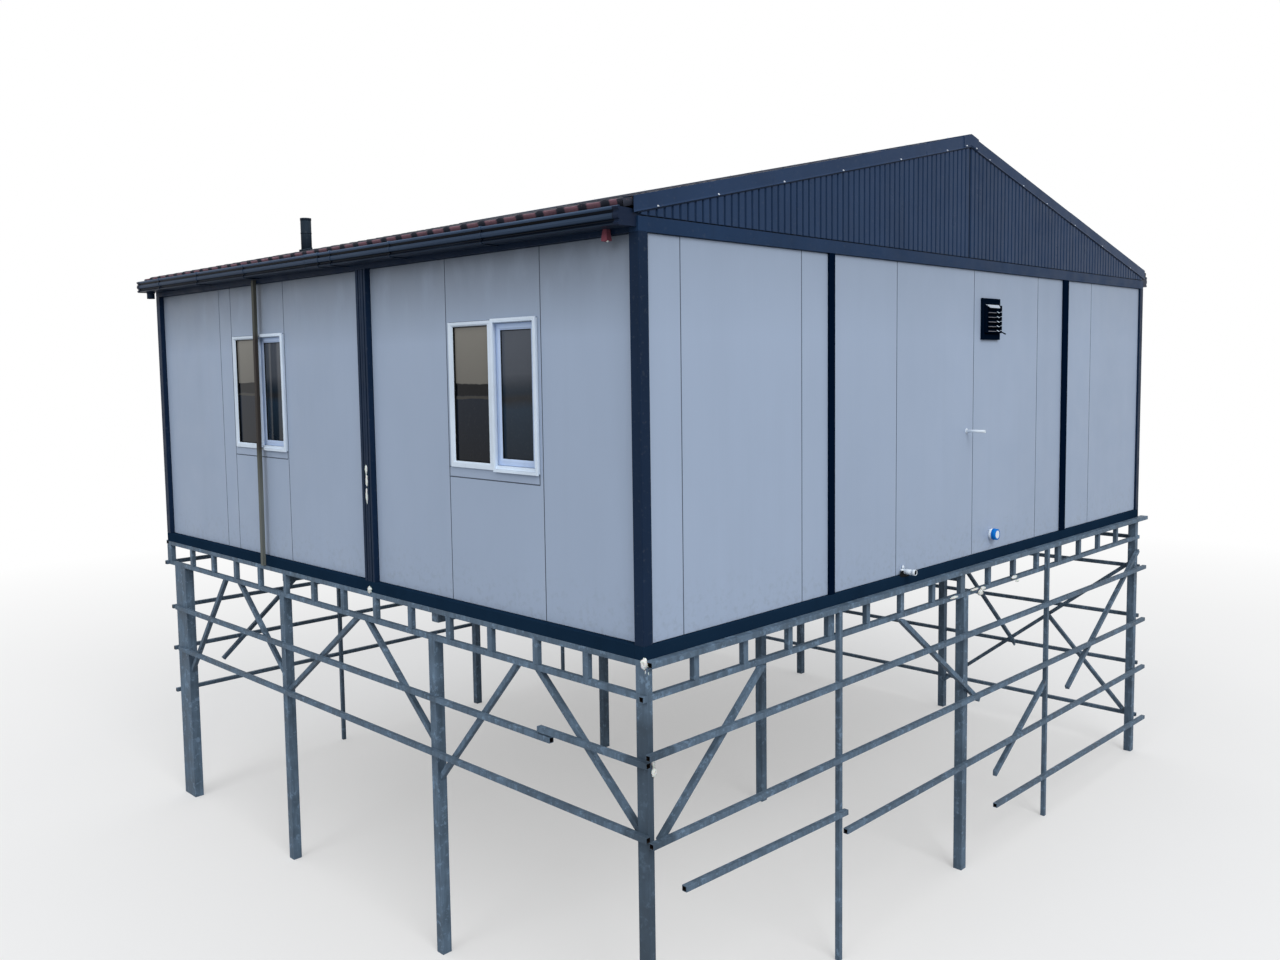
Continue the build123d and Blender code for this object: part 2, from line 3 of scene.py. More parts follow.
import bmesh
import bpy
from bpy.props import FloatProperty, FloatVectorProperty, IntProperty, PointerProperty
from mathutils import Matrix, Vector, noise


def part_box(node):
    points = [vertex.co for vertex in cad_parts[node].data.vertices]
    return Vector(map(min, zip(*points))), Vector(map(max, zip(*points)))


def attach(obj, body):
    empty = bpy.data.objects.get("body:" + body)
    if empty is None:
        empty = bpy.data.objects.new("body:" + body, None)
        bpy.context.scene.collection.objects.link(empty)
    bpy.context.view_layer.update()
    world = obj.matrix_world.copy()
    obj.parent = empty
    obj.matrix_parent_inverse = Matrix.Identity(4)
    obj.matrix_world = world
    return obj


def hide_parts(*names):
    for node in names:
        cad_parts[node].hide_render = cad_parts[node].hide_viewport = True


bl_info = {
    "name": "Prefabricated House",
    "version": (1, 0, 0),
    "blender": (4, 5, 0),
    "location": "View3D > Sidebar > House",
    "description": "Finishes a small panel house that stands on a braced steel understructure",
    "category": "Object",
}

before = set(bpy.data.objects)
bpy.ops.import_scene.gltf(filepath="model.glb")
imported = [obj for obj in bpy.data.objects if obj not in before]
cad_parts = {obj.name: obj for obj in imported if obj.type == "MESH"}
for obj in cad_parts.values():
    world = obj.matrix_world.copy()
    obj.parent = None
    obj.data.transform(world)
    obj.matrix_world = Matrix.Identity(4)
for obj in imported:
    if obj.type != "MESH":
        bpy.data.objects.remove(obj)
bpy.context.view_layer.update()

# Lines of the house, in metres, taken from its frame
corner, far_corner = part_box("gable_base_rails")
house_length = far_corner.x - corner.x
house_depth = far_corner.y - corner.y
base_top = far_corner.z - corner.z
beam_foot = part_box("gable_top_beams")[0].z - corner.z
beam_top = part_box("gable_top_beams")[1].z - corner.z
ridge_x = house_length / 2

# Depths behind the outer lines of the house, and heights of the windows
wall_face = 0.020
window_face = 0.030
window_sill, window_head = 1.070, 2.105

# Roof lines: heights above the underside of the house
pitch = math.radians(12.7)
slope = math.tan(pitch)
sheet_low, sheet_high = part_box("left_roof_sheet")
ridge_sheet_top = sheet_high.z - corner.z
eave_x = sheet_low.x - corner.x
rake_cover = 0.020
sheet_thickness = 0.035
rake_height = 0.098
rows_per_course = 4

# Gutter lines
gutter_low, gutter_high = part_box("gutters")
gutter_top = gutter_high.z - corner.z
gutter_height = 0.110
gutter_foot = gutter_top - gutter_height
gutter_climb = 0.020
gutter_start = gutter_low.y - corner.y
gutter_end = gutter_high.y - corner.y

# The photograph's view: place of the lens against the near corner, turns in degrees,
# lens in millimetres
eye = (-4.5375, -4.4481, 1.7710)
yaw, tilt, roll = 45.50, -4.508, -0.777
lens, sensor = 30.18, 36.0
shift_up = -0.0221

# Stretch of a noise that is alike in all directions
even = (1, 1, 1)


def at(x, y, z):
    """A point given from the near lower corner of the house."""
    return Vector((corner.x + x, corner.y + y, corner.z + z))


def span(node):
    """The two far corners of a node, given from the near lower corner of the house."""
    return [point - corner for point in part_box(node)]


def mirrored(side, x):
    """A distance from the left wall line, or from the right one where side is 1."""
    return house_length - x if side else x


def tint(red, green, blue):
    """A colour written as 0 to 255 on screen, as the shader's own numbers."""
    def straight(value):
        share = value / 255
        return share / 12.92 if share <= 0.04045 else ((share + 0.055) / 1.055) ** 2.4
    return (straight(red), straight(green), straight(blue))


def colour(label, default):
    """A colour that a user may change."""
    return FloatVectorProperty(
        name=label, description=f"Colour of the {label.lower()}", subtype="COLOR",
        size=3, min=0, max=1, default=tint(*default),
    )


def length(label, text, default):
    """A length that a user may change."""
    return FloatProperty(name=label, description=text, default=default, min=0.0001, unit="LENGTH")


class HouseSizes(bpy.types.PropertyGroup):
    """Sizes of the pieces that the frame leaves open"""

    tile_pitch: length("Tile pitch", "Distance between the rolls of the roof sheets", 0.1975)
    tile_roll: length("Tile roll", "Height of the rolls of the roof sheets", 0.009)
    tile_step: length("Tile step", "Height of the steps up the roof sheets", 0.015)
    courses: IntProperty(name="Courses", description="Steps from eave to ridge", default=12, min=2)
    rib_pitch: length("Rib pitch", "Distance between the ribs of the gable sheets", 0.070)
    rib_depth: length("Rib depth", "How far the ribs of the gable sheets stand out", 0.011)
    seam: length("Seam", "Half width of the grooves between wall panels", 0.004)
    edge: length("Edge", "Rounding of the steel tubes", 0.003)
    tube_wall: length("Tube wall", "Wall of the steel tubes where an end is open", 0.003)
    sash_bar: length("Sash bar", "Width of the bars of the opening lights", 0.046)
    bead: length("Glazing bead", "Width of the beads around the glass", 0.010)


class HouseColours(bpy.types.PropertyGroup):
    """Colours of the finishes"""

    panel: colour("Wall panels", (158, 174, 198))
    navy: colour("Frame paint", (20, 38, 62))
    cladding: colour("Gable sheets", (38, 58, 88))
    tile: colour("Roof tiles", (116, 86, 98))
    tile_shade: colour("Roof tile shade", (42, 46, 58))
    steel: colour("Primer steel", (94, 114, 134))
    gutter: colour("Gutter", (22, 40, 66))
    white: colour("Window frames", (214, 228, 244))
    sash: colour("Opening lights", (182, 202, 234))
    # Colours of the painted reflection on the fixed panes, below and above its skyline
    glass_reflection_low: colour("Glass low down", (16, 26, 40))
    glass_reflection_high: colour("Glass high up", (120, 118, 112))
    timber: colour("Wall strip", (78, 80, 74))
    flue: colour("Flue", (36, 48, 60))
    black: colour("Vent", (4, 16, 32))
    blue: colour("Pipe cap", (14, 116, 206))
    board: colour("Floor boards", (160, 132, 100))


# Node trees

def feed(tree, node, inputs):
    """Give a value or a link to each named input of a node."""
    for key, value in inputs.items():
        if isinstance(value, bpy.types.NodeSocket):
            tree.links.new(value, node.inputs[key])
        else:
            node.inputs[key].default_value = value


def put(tree, kind, inputs=None, **settings):
    """A new node with its settings and inputs."""
    node = tree.nodes.new(kind)
    for key, value in settings.items():
        setattr(node, key, value)
    feed(tree, node, inputs or {})
    return node


def calc(tree, operation, first, second=0.0):
    """The result of one sum on values or sockets."""
    return put(tree, "ShaderNodeMath", {0: first, 1: second}, operation=operation).outputs[0]


class Finish:
    """A procedural material on object coordinates, with short ways to add to it."""

    def __init__(self, name, shine=0.5):
        self.material = bpy.data.materials.new(name)
        self.material.use_nodes = True
        self.tree = self.material.node_tree
        self.shader = self.tree.nodes["Principled BSDF"]
        self.shader.inputs["Specular IOR Level"].default_value = shine
        self.place = put(self.tree, "ShaderNodeTexCoord").outputs["Object"]
        self.normal = None

    def math(self, operation, first, second=0.0):
        """The result of one sum."""
        return calc(self.tree, operation, first, second)

    def times(self, first, second):
        """One value times another."""
        return calc(self.tree, "MULTIPLY", first, second)

    def less(self, first, second):
        """One value less another."""
        return calc(self.tree, "SUBTRACT", first, second)

    def axis(self, name):
        """One coordinate of the place on the piece."""
        return put(self.tree, "ShaderNodeSeparateXYZ", {0: self.place}).outputs[name]

    def mottle(self, scale, stretch=even, detail=4.0, rough=0.55):
        """Soft random values from 0 to 1."""
        mapped = put(self.tree, "ShaderNodeMapping", {"Vector": self.place, "Scale": stretch})
        values = {"Vector": mapped.outputs[0], "Scale": scale, "Detail": detail, "Roughness": rough}
        return put(self.tree, "ShaderNodeTexNoise", values).outputs["Fac"]

    def ramp(self, value, low, high, first=0.0, last=1.0):
        """The value between low and high, as first to last."""
        values = {"Value": value, 1: low, 2: high, 3: first, 4: last}
        return put(self.tree, "ShaderNodeMapRange", values, clamp=True).outputs[0]

    def mix(self, factor, first, second):
        """One colour over another by a factor."""
        def full(value):
            return (*value, 1) if isinstance(value, (tuple, list)) else value
        values = {0: factor, 6: full(first), 7: full(second)}
        return put(self.tree, "ShaderNodeMix", values, data_type="RGBA").outputs[2]

    def bump(self, height, distance, strength):
        """One more relief under those that are there."""
        values = {"Height": height, "Distance": distance, "Strength": strength}
        if self.normal:
            values["Normal"] = self.normal
        self.normal = put(self.tree, "ShaderNodeBump", values).outputs[0]

    def patches(self, tone, over, share, low, high, *mottling):
        """The tone under patches of a colour, where random values pass from low to high."""
        return self.mix(self.ramp(self.mottle(*mottling), low, high, 0.0, share), tone, over)

    def done(self, base, rough):
        """Join the colour, roughness and bump to the shader."""
        feed(self.tree, self.shader, {"Base Color": base, "Roughness": rough})
        if self.normal:
            feed(self.tree, self.shader, {"Normal": self.normal})


def shade(base, factor):
    """A darker or lighter shade of a colour."""
    return tuple(min(1.0, value * factor) for value in base)


def finish(name):
    """The material of a finish that is made."""
    return bpy.data.materials[name]


def painted(name, base, rough, streak, speck, shine=0.06):
    """Factory paint with faint clouds, rain streaks, specks of dust and a fine skin."""
    made = Finish(name, shine)
    clouds = made.ramp(made.mottle(1.7), 0.3, 0.7)
    tone = made.mix(clouds, shade(base, 0.9), shade(base, 1.1))
    tone = made.patches(tone, shade(base, 0.62), streak, 0.52, 0.75, 9.0, (1, 1, 0.06), 5.0)
    tone = made.patches(tone, tint(110, 114, 118), speck, 0.62, 0.74, 38.0, even, 2.0)
    made.bump(made.mottle(240.0, even, 2.0), 0.0006, 0.35)
    made.done(tone, made.ramp(made.mottle(6.0), 0.3, 0.7, rough - 0.07, rough + 0.12))


def panel_finish(name, base):
    """Coated sheet with fine upright lines, painted shade under the eave and splashes at the foot.
    """
    splash_height, eave_shade_depth, line_pitch = 0.4, 0.6, 0.033
    made = Finish(name, 0.15)
    clouds = made.ramp(made.mottle(0.9, (1, 1, 0.5)), 0.3, 0.7)
    tone = made.mix(clouds, shade(base, 0.965), shade(base, 1.035))
    tone = made.patches(tone, shade(base, 0.85), 0.14, 0.5, 0.75, 7.0, (1, 1, 0.05), 5.0)
    height = made.axis("Z")
    panel_foot, panel_head = corner.z + base_top, corner.z + beam_foot
    foot = made.ramp(height, panel_foot, panel_foot + splash_height, 0.28, 0.0)
    splash = made.times(made.ramp(made.mottle(26.0, even, 6.0), 0.5, 0.72), foot)
    tone = made.mix(splash, tone, tint(122, 128, 134))
    # Painted shade from the eave and gutter over the top of the walls, full on the side walls, with
    # a mottled edge
    head = made.ramp(height, panel_head - eave_shade_depth, panel_head, 0.0, 0.65)
    out = made.math("ABSOLUTE", made.less(made.axis("X"), corner.x + ridge_x))
    under_eave = made.ramp(out, ridge_x - 0.12, ridge_x - 0.07, 0.3, 1.0)
    eave_shade = made.times(made.ramp(made.mottle(5.0, (1, 1, 0.4)), 0.1, 0.5, 0.6, 1.0), head)
    shaded = tuple(value * share for value, share in zip(base, (0.30, 0.27, 0.23)))
    tone = made.mix(made.times(eave_shade, under_eave), tone, shaded)
    run = made.math("ADD", made.axis("X"), made.axis("Y"))
    made.bump(made.math("SINE", made.times(run, 2 * math.pi / line_pitch)), 0.0002, 0.3)
    made.bump(made.mottle(150.0, even, 2.0), 0.0004, 0.3)
    made.done(tone, made.ramp(made.mottle(4.0), 0.3, 0.7, 0.36, 0.52))


def steel_finish(name, base):
    """Grey primer with brush marks, chalky spots and rust, and with painted shade low on the near
    post.
    """
    made = Finish(name, 0.16)
    clouds = made.ramp(made.mottle(5.0, even, 6.0), 0.32, 0.68)
    tone = made.mix(clouds, shade(base, 0.66), shade(base, 1.2))
    brush = made.ramp(made.mottle(30.0, (1, 1, 0.12), 5.0), 0.42, 0.66, 0.0, 0.55)
    tone = made.mix(brush, tone, shade(base, 0.5))
    tone = made.patches(tone, shade(base, 1.9), 0.6, 0.55, 0.64, 17.0, even, 7.0, 0.7)
    tone = made.patches(tone, tint(84, 66, 56), 0.6, 0.65, 0.72, 9.0, (1, 1, 0.5), 8.0, 0.72)
    # Painted shade: the near corner post turns darker below the house
    along = made.less(made.axis("X"), corner.x)
    away = made.math("MAXIMUM", along, made.less(made.axis("Y"), corner.y))
    low_down = made.ramp(made.axis("Z"), corner.z - 0.42, corner.z - 0.30, 1.0, 0.0)
    near_post_shade = made.times(made.ramp(away, 0.14, 0.18, 0.6, 0.0), low_down)
    tone = made.mix(near_post_shade, tone, shade(base, 0.25))
    made.bump(made.mottle(90.0, even, 5.0), 0.0012, 0.5)
    made.bump(brush, 0.0006, 0.4)
    made.done(tone, made.ramp(clouds, 0.0, 1.0, 0.48, 0.7))


def tile_finish(name, red, dark):
    """Red-brown tile coating with painted shade on the narrow rolls and on the sheet ends under the
    trims, mottled and gritty.
    """
    made = Finish(name, 0.12)
    clouds = made.ramp(made.mottle(6.0, even, 6.0), 0.3, 0.7)
    tone = made.mix(clouds, shade(red, 0.75), shade(red, 1.2))
    tone = made.patches(tone, shade(dark, 1.4), 0.25, 0.52, 0.66, 2.3, even, 5.0)
    # The roll mark is 1 on the rolls and at the covered ends, where the tone turns to the painted
    # shade colour
    roll_shade_mark = put(made.tree, "ShaderNodeAttribute", attribute_name="roll").outputs["Fac"]
    edge = made.math("ADD", roll_shade_mark, made.times(made.mottle(19.0), 0.25))
    tone = made.mix(made.ramp(edge, 0.70, 0.86), tone, dark)
    tone = made.patches(tone, tint(148, 114, 116), 0.25, 0.62, 0.7, 60.0, even, 3.0)
    made.bump(made.mottle(320.0, even, 3.0), 0.0012, 0.6)
    made.done(tone, made.ramp(clouds, 0.0, 1.0, 0.5, 0.72))


def glass_finish(name, low, high, blur):
    """Glazing with a painted reflection of a pale sky over a dark skyline, and a thin painted light
    line under the skyline.
    """
    made = Finish(name, 0.12)
    ragged = made.times(made.mottle(3.0, (1, 1, 2.5), 6.0), 0.05)
    pane_foot = corner.z + window_sill + 0.025
    height = made.less(made.math("ADD", made.axis("Z"), ragged), pane_foot)
    # Painted reflection by height: dark ground low down, a light line and dark hills at the
    # skyline, pale sky above
    tone = made.mix(made.ramp(height, 0.05, 0.48), shade(low, 0.4), low)
    over = made.ramp(height, 0.487 - blur, 0.492)
    under = made.ramp(height, 0.508, 0.514 + blur, 1.0, 0.0)
    tone = made.mix(made.times(over, under), tone, shade(high, 0.22))
    skyline = made.ramp(height, 0.510, 0.516 + blur)
    tone = made.mix(skyline, tone, shade(low, 0.5 if blur else 0.15))
    sky = made.ramp(height, 0.600 - blur, 0.608 + blur)
    paler = made.mix(made.ramp(height, 0.6, 0.95), shade(high, 0.8), shade(high, 1.08))
    tone = made.mix(sky, tone, paler)
    tone = made.patches(tone, tint(150, 150, 150), 0.03, 0.55, 0.8, 45.0)
    made.done(tone, made.ramp(made.mottle(8.0), 0.3, 0.7, 0.04, 0.1))


def gutter_finish(name, base):
    """Smooth plastic with painted light in bands up its height: painted shade underneath and in the
    groove, a painted highlight on the arris, and a painted sheen on the face and the lip.
    """
    made = Finish(name, 0.04)
    climb = made.ramp(made.axis("Y"), corner.y, far_corner.y, 0.0, gutter_climb)
    height = made.less(made.less(made.axis("Z"), corner.z + gutter_foot), climb)
    painted_sheen = tint(70, 90, 118)
    # Painted light by height: the dark bands stand for shade and the pale ones for sky on the
    # arris, face and lip
    arris_highlight = made.ramp(height, 0.007, 0.010, 1.0, 0.0)
    tone = made.mix(arris_highlight, shade(base, 0.10), shade(painted_sheen, 0.28))
    for start, end, coat in (
        (0.033, 0.037, shade(painted_sheen, 0.55)), (0.067, 0.071, shade(base, 0.03)),
        (0.088, 0.091, shade(painted_sheen, 0.95)),
    ):
        tone = made.mix(made.ramp(height, start, end), tone, coat)
    clouds = made.ramp(made.mottle(3.0, (1, 0.3, 1)), 0.3, 0.7, 0.0, 0.3)
    tone = made.mix(clouds, tone, shade(base, 0.6))
    tone = made.patches(tone, tint(62, 80, 100), 0.10, 0.55, 0.75, 12.0, (1, 0.2, 1), 5.0)
    made.bump(made.mottle(90.0), 0.0005, 0.3)
    made.done(tone, made.ramp(clouds, 0.0, 0.3, 0.3, 0.42))


def timber_finish(name, base):
    """Weathered timber with long grain, pale low down and brown beside the windows."""
    made = Finish(name, 0.2)
    grain = made.mottle(26.0, (1, 1, 0.07), 8.0, 0.65)
    tone = made.mix(made.ramp(grain, 0.35, 0.65), shade(base, 0.6), shade(base, 1.2))
    height = made.axis("Z")
    above = made.ramp(height, corner.z + 1.02, corner.z + 1.10)
    below = made.ramp(height, corner.z + 2.06, corner.z + 2.14, 1.0, 0.0)
    brown = made.times(made.times(above, below), 0.85)
    tone = made.mix(brown, tone, tint(48, 42, 42))
    pale = made.ramp(height, corner.z + 0.6, corner.z + 1.05, 0.45, 0.0)
    tone = made.mix(pale, tone, tint(118, 124, 122))
    made.bump(grain, 0.002, 0.6)
    made.done(tone, made.ramp(grain, 0.3, 0.7, 0.6, 0.85))


def foam_finish(name, base):
    """Hardened foam with a pitted skin that has yellowed in places."""
    made = Finish(name)
    made.shader.inputs["Subsurface Weight"].default_value = 0.1
    pits = made.mottle(70.0, even, 5.0)
    tone = made.mix(made.ramp(pits, 0.35, 0.6), shade(base, 0.7), base)
    tone = made.patches(tone, tint(226, 218, 186), 0.2, 0.42, 0.66, 14.0)
    made.bump(pits, 0.004, 0.8)
    made.done(tone, made.ramp(pits, 0.3, 0.7, 0.6, 0.9))


class HOUSE_OT_finishes(bpy.types.Operator):
    """Make every finish of the house and give the carried-over pieces theirs"""

    bl_idname = "house.finishes"
    bl_label = "Finishes"

    def execute(self, context):
        def chosen(name):
            return tuple(getattr(context.scene.house_colours, name))
        panel, navy, cladding = chosen("panel"), chosen("navy"), chosen("cladding")
        # Name, colour, roughness, share of rain streaks, share of dust specks, shine if not faint
        coats = (
            ("navy_paint", navy, 0.4, 0.35, 0.12),
            ("strip_paint", tint(4, 18, 38), 0.45, 0.3, 0.0, 0.0),
            ("rail_paint", tint(22, 42, 63), 0.45, 0.25, 0.02, 0.0),
            ("beam_paint", shade(navy, 1.7), 0.4, 0.3, 0.08),
            ("cladding_paint", cladding, 0.34, 0.3, 0.08),
            ("cladding_shade", shade(cladding, 0.35), 0.5, 0.3, 0.04),
            ("seam_shadow", shade(panel, 0.30), 0.7, 0.3, 0.1),
            ("tube_inside", tint(34, 28, 26), 0.8, 0.5, 0.2),
            ("white_plastic", chosen("white"), 0.3, 0.12, 0.06),
            ("sash_plastic", chosen("sash"), 0.32, 0.12, 0.06),
            ("door_coating", shade(panel, 1.06), 0.4, 0.2, 0.1),
            ("rubber", tint(16, 18, 20), 0.65, 0.1, 0.1),
            ("vent_black", chosen("black"), 0.45, 0.1, 0.0, 0.0),
            ("worn_edge", tint(150, 152, 162), 0.4, 0.1, 0.0),
            ("flap_plastic", tint(188, 198, 212), 0.4, 0.2, 0.05),
            ("stop_end", tint(24, 36, 58), 0.35, 0.15, 0.03),
            ("blue_plastic", chosen("blue"), 0.35, 0.15, 0.1),
            ("pipe_white", tint(226, 236, 248), 0.38, 0.2, 0.05),
            ("zinc", tint(222, 230, 240), 0.36, 0.1, 0.0, 0.3),
            ("sooty_flue", chosen("flue"), 0.55, 0.6, 0.2),
            ("plug_red", tint(136, 78, 92), 0.7, 0.4, 0.1),
            ("ceiling_coating", tint(196, 200, 204), 0.6, 0.1, 0.05),
        )
        for coat in coats:
            painted(*coat)
        panel_finish("panel_coating", panel)
        steel_finish("brushed_primer", chosen("steel"))
        tile_finish("tile_coating", chosen("tile"), chosen("tile_shade"))
        gutter_finish("gutter_coating", chosen("gutter"))
        timber_finish("strip_timber", chosen("timber"))
        timber_finish("floor_boards", chosen("board"))
        # Painted reflections of a sky over a skyline on the fixed and the opening panes
        glass_finish("fixed_glass", chosen("glass_reflection_low"), chosen("glass_reflection_high"), 0.0)
        glass_finish("sash_glass", tint(34, 50, 66), tint(78, 84, 94), 0.06)
        foam_finish("foam", tint(236, 240, 240))
        kept = {
            "brushed_primer": ("long_floor_beam", "cross_floor_beams"),
            "navy_paint": ("side_top_beams", "ridge_beam", "king_posts"),
            "ceiling_coating": ("ceiling_panel",),
            "floor_boards": ("floor_panel",),
            # The gable sheet between the ribs carries painted shade
            "cladding_shade": ("gable_cladding",),
        }
        for material, nodes in kept.items():
            for node in nodes:
                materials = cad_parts[node].data.materials
                materials.clear()
                materials.append(finish(material))
        return {"FINISHED"}


# Ways to make the pieces

def add_piece(name, mesh, materials=(), nodes=()):
    """A finished mesh as a piece that rides on the house and may stand for nodes of the frame."""
    for material in materials:
        mesh.materials.append(finish(material))
    piece = bpy.data.objects.new(name, mesh)
    bpy.context.scene.collection.objects.link(piece)
    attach(piece, "root")
    if nodes:
        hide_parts(*nodes)


def baked(shape, name):
    """The mesh of a finished shape, with its faces turned outwards."""
    bmesh.ops.recalc_face_normals(shape, faces=shape.faces)
    mesh = bpy.data.meshes.new(name)
    shape.to_mesh(mesh)
    shape.free()
    return mesh


def add_shape(name, shape, slot, materials, *nodes):
    """A finished shape as a piece that may stand for nodes of the frame."""
    add_piece(name, baked(shape, name), materials, nodes)


def add_block(shape, low, high):
    """A box between two points given from the near corner."""
    first, last = at(*low), at(*high)
    size = Matrix.Diagonal((*(last - first), 1))
    matrix = Matrix.Translation((first + last) / 2) @ size
    bmesh.ops.create_cube(shape, size=1, matrix=matrix)


def add_prism(shape, outline, place, start, end, material=0):
    """A closed outline of pairs carried from start to end, with place giving each point."""
    first = [shape.verts.new(place(*pair, start)) for pair in outline]
    last = [shape.verts.new(place(*pair, end)) for pair in outline]
    faces = [shape.faces.new(first), shape.faces.new(last[::-1])]
    for index in range(len(outline)):
        after = (index + 1) % len(outline)
        faces.append(shape.faces.new((first[index], last[index], last[after], first[after])))
    for face in faces:
        face.material_index = material


def join_loops(shape, first, last):
    """Faces between two closed loops of as many points."""
    faces = []
    for index in range(len(first)):
        after = (index + 1) % len(first)
        corners = (first[index], first[after], last[after], last[index])
        faces.append(shape.faces.new(corners))
    return faces


def loft(shape, rings):
    """A skin over a row of loops, closed at both ends."""
    for first, last in zip(rings, rings[1:]):
        join_loops(shape, first, last)
    shape.faces.new(rings[0])
    shape.faces.new(rings[-1])


def add_tube(shape, start, end, radius, bore=0.0, sides=32):
    """A round bar or pipe between two points, open where it has a bore."""
    axis = (end - start).normalized()
    side = axis.orthogonal().normalized()
    other = axis.cross(side)
    def circle(centre, size):
        turns = [2 * math.pi * index / sides for index in range(sides)]
        arms = [side * math.cos(turn) + other * math.sin(turn) for turn in turns]
        return [shape.verts.new(centre + arm * size) for arm in arms]
    rings = [circle(start, radius), circle(end, radius)]
    if bore:
        rings += [circle(end, bore), circle(start, bore), rings[0]]
    else:
        shape.faces.new(rings[0])
        shape.faces.new(rings[1])
    for first, last in zip(rings, rings[1:]):
        for face in join_loops(shape, first, last):
            face.smooth = True


def add_pipes(shape, x, z, sides, *rows):
    """Pipes on one line through the front wall: start, end, radius and bore of each."""
    for start, end, radius, bore in rows:
        add_tube(shape, at(x, start, z), at(x, end, z), radius, bore, sides)


def add_ring(shape, wall, low, high, foot, head, profile, head_share=1.0):
    """A mitred ring around an opening of a wall, with a profile of insets and depths."""
    down = -head_share
    corners = ((low, foot, 1, 1), (high, foot, -1, 1), (high, head, -1, down), (low, head, 1, down))
    loops = []
    for along, height, inward, upward in corners:
        points = [
            wall(along + inset * inward, depth, height + inset * upward)
            for inset, depth in profile
        ]
        loops.append([shape.verts.new(point) for point in points])
    for loop, following in zip(loops, loops[1:] + loops[:1]):
        join_loops(shape, loop, following)


def strip_outline(path, thickness):
    """The outline of a folded sheet that follows a path of pairs."""
    points = [Vector(pair) for pair in path]
    inner = []
    for index, point in enumerate(points):
        before = points[max(index - 1, 0)]
        after = points[min(index + 1, len(points) - 1)]
        first = (point - before if index else after - point).normalized()
        last = (after - point if index < len(points) - 1 else point - before).normalized()
        across = Vector((-first.y, first.x)) + Vector((-last.y, last.x))
        across.normalize()
        square = max(0.35, across.dot(Vector((-first.y, first.x))))
        inner.append(point + across * (thickness / square))
    return [tuple(point) for point in points + inner[::-1]]


def soften(shape, width, segments=2, least_angle=0.35):
    """Round the sharp edges of a shape."""
    sharp = [edge for edge in shape.edges if len(edge.link_faces) == 2]
    sharp = [edge for edge in sharp if edge.calc_face_angle(0) > least_angle]
    made = bmesh.ops.bevel(
        shape, geom=sharp, offset=width, offset_type="OFFSET", segments=segments,
        profile=0.6, affect="EDGES", clamp_overlap=True,
    )
    return made["faces"]


def merged_copy(node):
    """The faces of a node's solids, with their loose triangles merged."""
    shape = bmesh.new()
    shape.from_mesh(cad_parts[node].data)
    bmesh.ops.remove_doubles(shape, verts=shape.verts, dist=0.00002)
    bmesh.ops.dissolve_limit(
        shape, angle_limit=math.radians(0.5), verts=shape.verts, edges=shape.edges
    )
    for face in shape.faces:
        face.material_index = 0
    return shape


def open_ends(shape, axis, wall):
    """Hollow the ends of tubes along an axis, with the inside as the second material."""
    depth, largest_end = 0.10, 0.0065
    ends = [face for face in shape.faces if abs(face.normal[axis]) > 0.995 and len(face.verts) == 4]
    ends = [face for face in ends if face.calc_area() < largest_end]
    bmesh.ops.inset_individual(shape, faces=ends, thickness=wall, depth=0.0)
    walls = bmesh.ops.inset_individual(shape, faces=ends, thickness=0.0, depth=-depth)["faces"]
    for face in ends + walls:
        face.material_index = 1


def dress(node, name, materials, rounding, axis=None, wall=0.0):
    """A piece that stands for a node, with rounded edges and open tube ends."""
    shape = merged_copy(node)
    soften(shape, rounding)
    if axis is not None:
        open_ends(shape, axis, wall)
    mesh = bpy.data.meshes.new(name)
    shape.to_mesh(mesh)
    shape.free()
    add_piece(name, mesh, materials, (node,))


# Geometry node trees for what repeats

def new_tree(name, **inputs):
    """An empty tree with named inputs and a geometry output."""
    tree = bpy.data.node_groups.new(name, "GeometryNodeTree")
    for label, kind in inputs.items():
        tree.interface.new_socket(name=label, in_out="INPUT", socket_type="NodeSocket" + kind)
    tree.interface.new_socket(name="Geometry", in_out="OUTPUT", socket_type="NodeSocketGeometry")
    return tree, tree.nodes.new("NodeGroupInput").outputs


def close_tree(tree, geometry, material):
    """Realize the copies, give them their material and end the tree."""
    real = put(tree, "GeometryNodeRealizeInstances", {0: geometry})
    values = {"Geometry": real.outputs[0], "Material": material}
    coated = put(tree, "GeometryNodeSetMaterial", values)
    end = tree.nodes.new("NodeGroupOutput")
    tree.links.new(coated.outputs[0], end.inputs[0])


def grown(name, tree, values, base=None):
    """The plain mesh that a tree makes from its named values."""
    host = bpy.data.objects.new(name, base or bpy.data.meshes.new(name))
    bpy.context.scene.collection.objects.link(host)
    modifier = host.modifiers.new(name, "NODES")
    modifier.node_group = tree
    for item in tree.interface.items_tree:
        if item.in_out == "INPUT" and item.name in values:
            modifier[item.identifier] = values[item.name]
    bpy.context.view_layer.update()
    graph = bpy.context.evaluated_depsgraph_get()
    mesh = bpy.data.meshes.new_from_object(host.evaluated_get(graph))
    bpy.data.objects.remove(host)
    return mesh


def copies_tree():
    """Tree that sets one unit on every point of its base mesh."""
    tree, start = new_tree(
        "Copies on points", Geometry="Geometry", Unit="Object", Turn="Vector", Material="Material",
    )
    unit = put(tree, "GeometryNodeObjectInfo", {"Object": start["Unit"]}).outputs["Geometry"]
    made = put(tree, "GeometryNodeInstanceOnPoints", {
        "Points": start["Geometry"], "Instance": unit, "Rotation": start["Turn"],
    })
    close_tree(tree, made.outputs[0], start["Material"])
    return tree


def add_copies(name, points, unit, material, turn=(0, 0, 0)):
    """A piece made of copies of a unit mesh at the points."""
    tree = bpy.data.node_groups.get("Copies on points") or copies_tree()
    base = bpy.data.meshes.new(name)
    base.from_pydata([tuple(point) for point in points], [], [])
    holder = bpy.data.objects.new(name + "_unit", unit)
    bpy.context.scene.collection.objects.link(holder)
    values = {"Unit": holder, "Turn": turn, "Material": finish(material)}
    mesh = grown(name, tree, values, base)
    bpy.data.objects.remove(holder)
    add_piece(name, mesh)


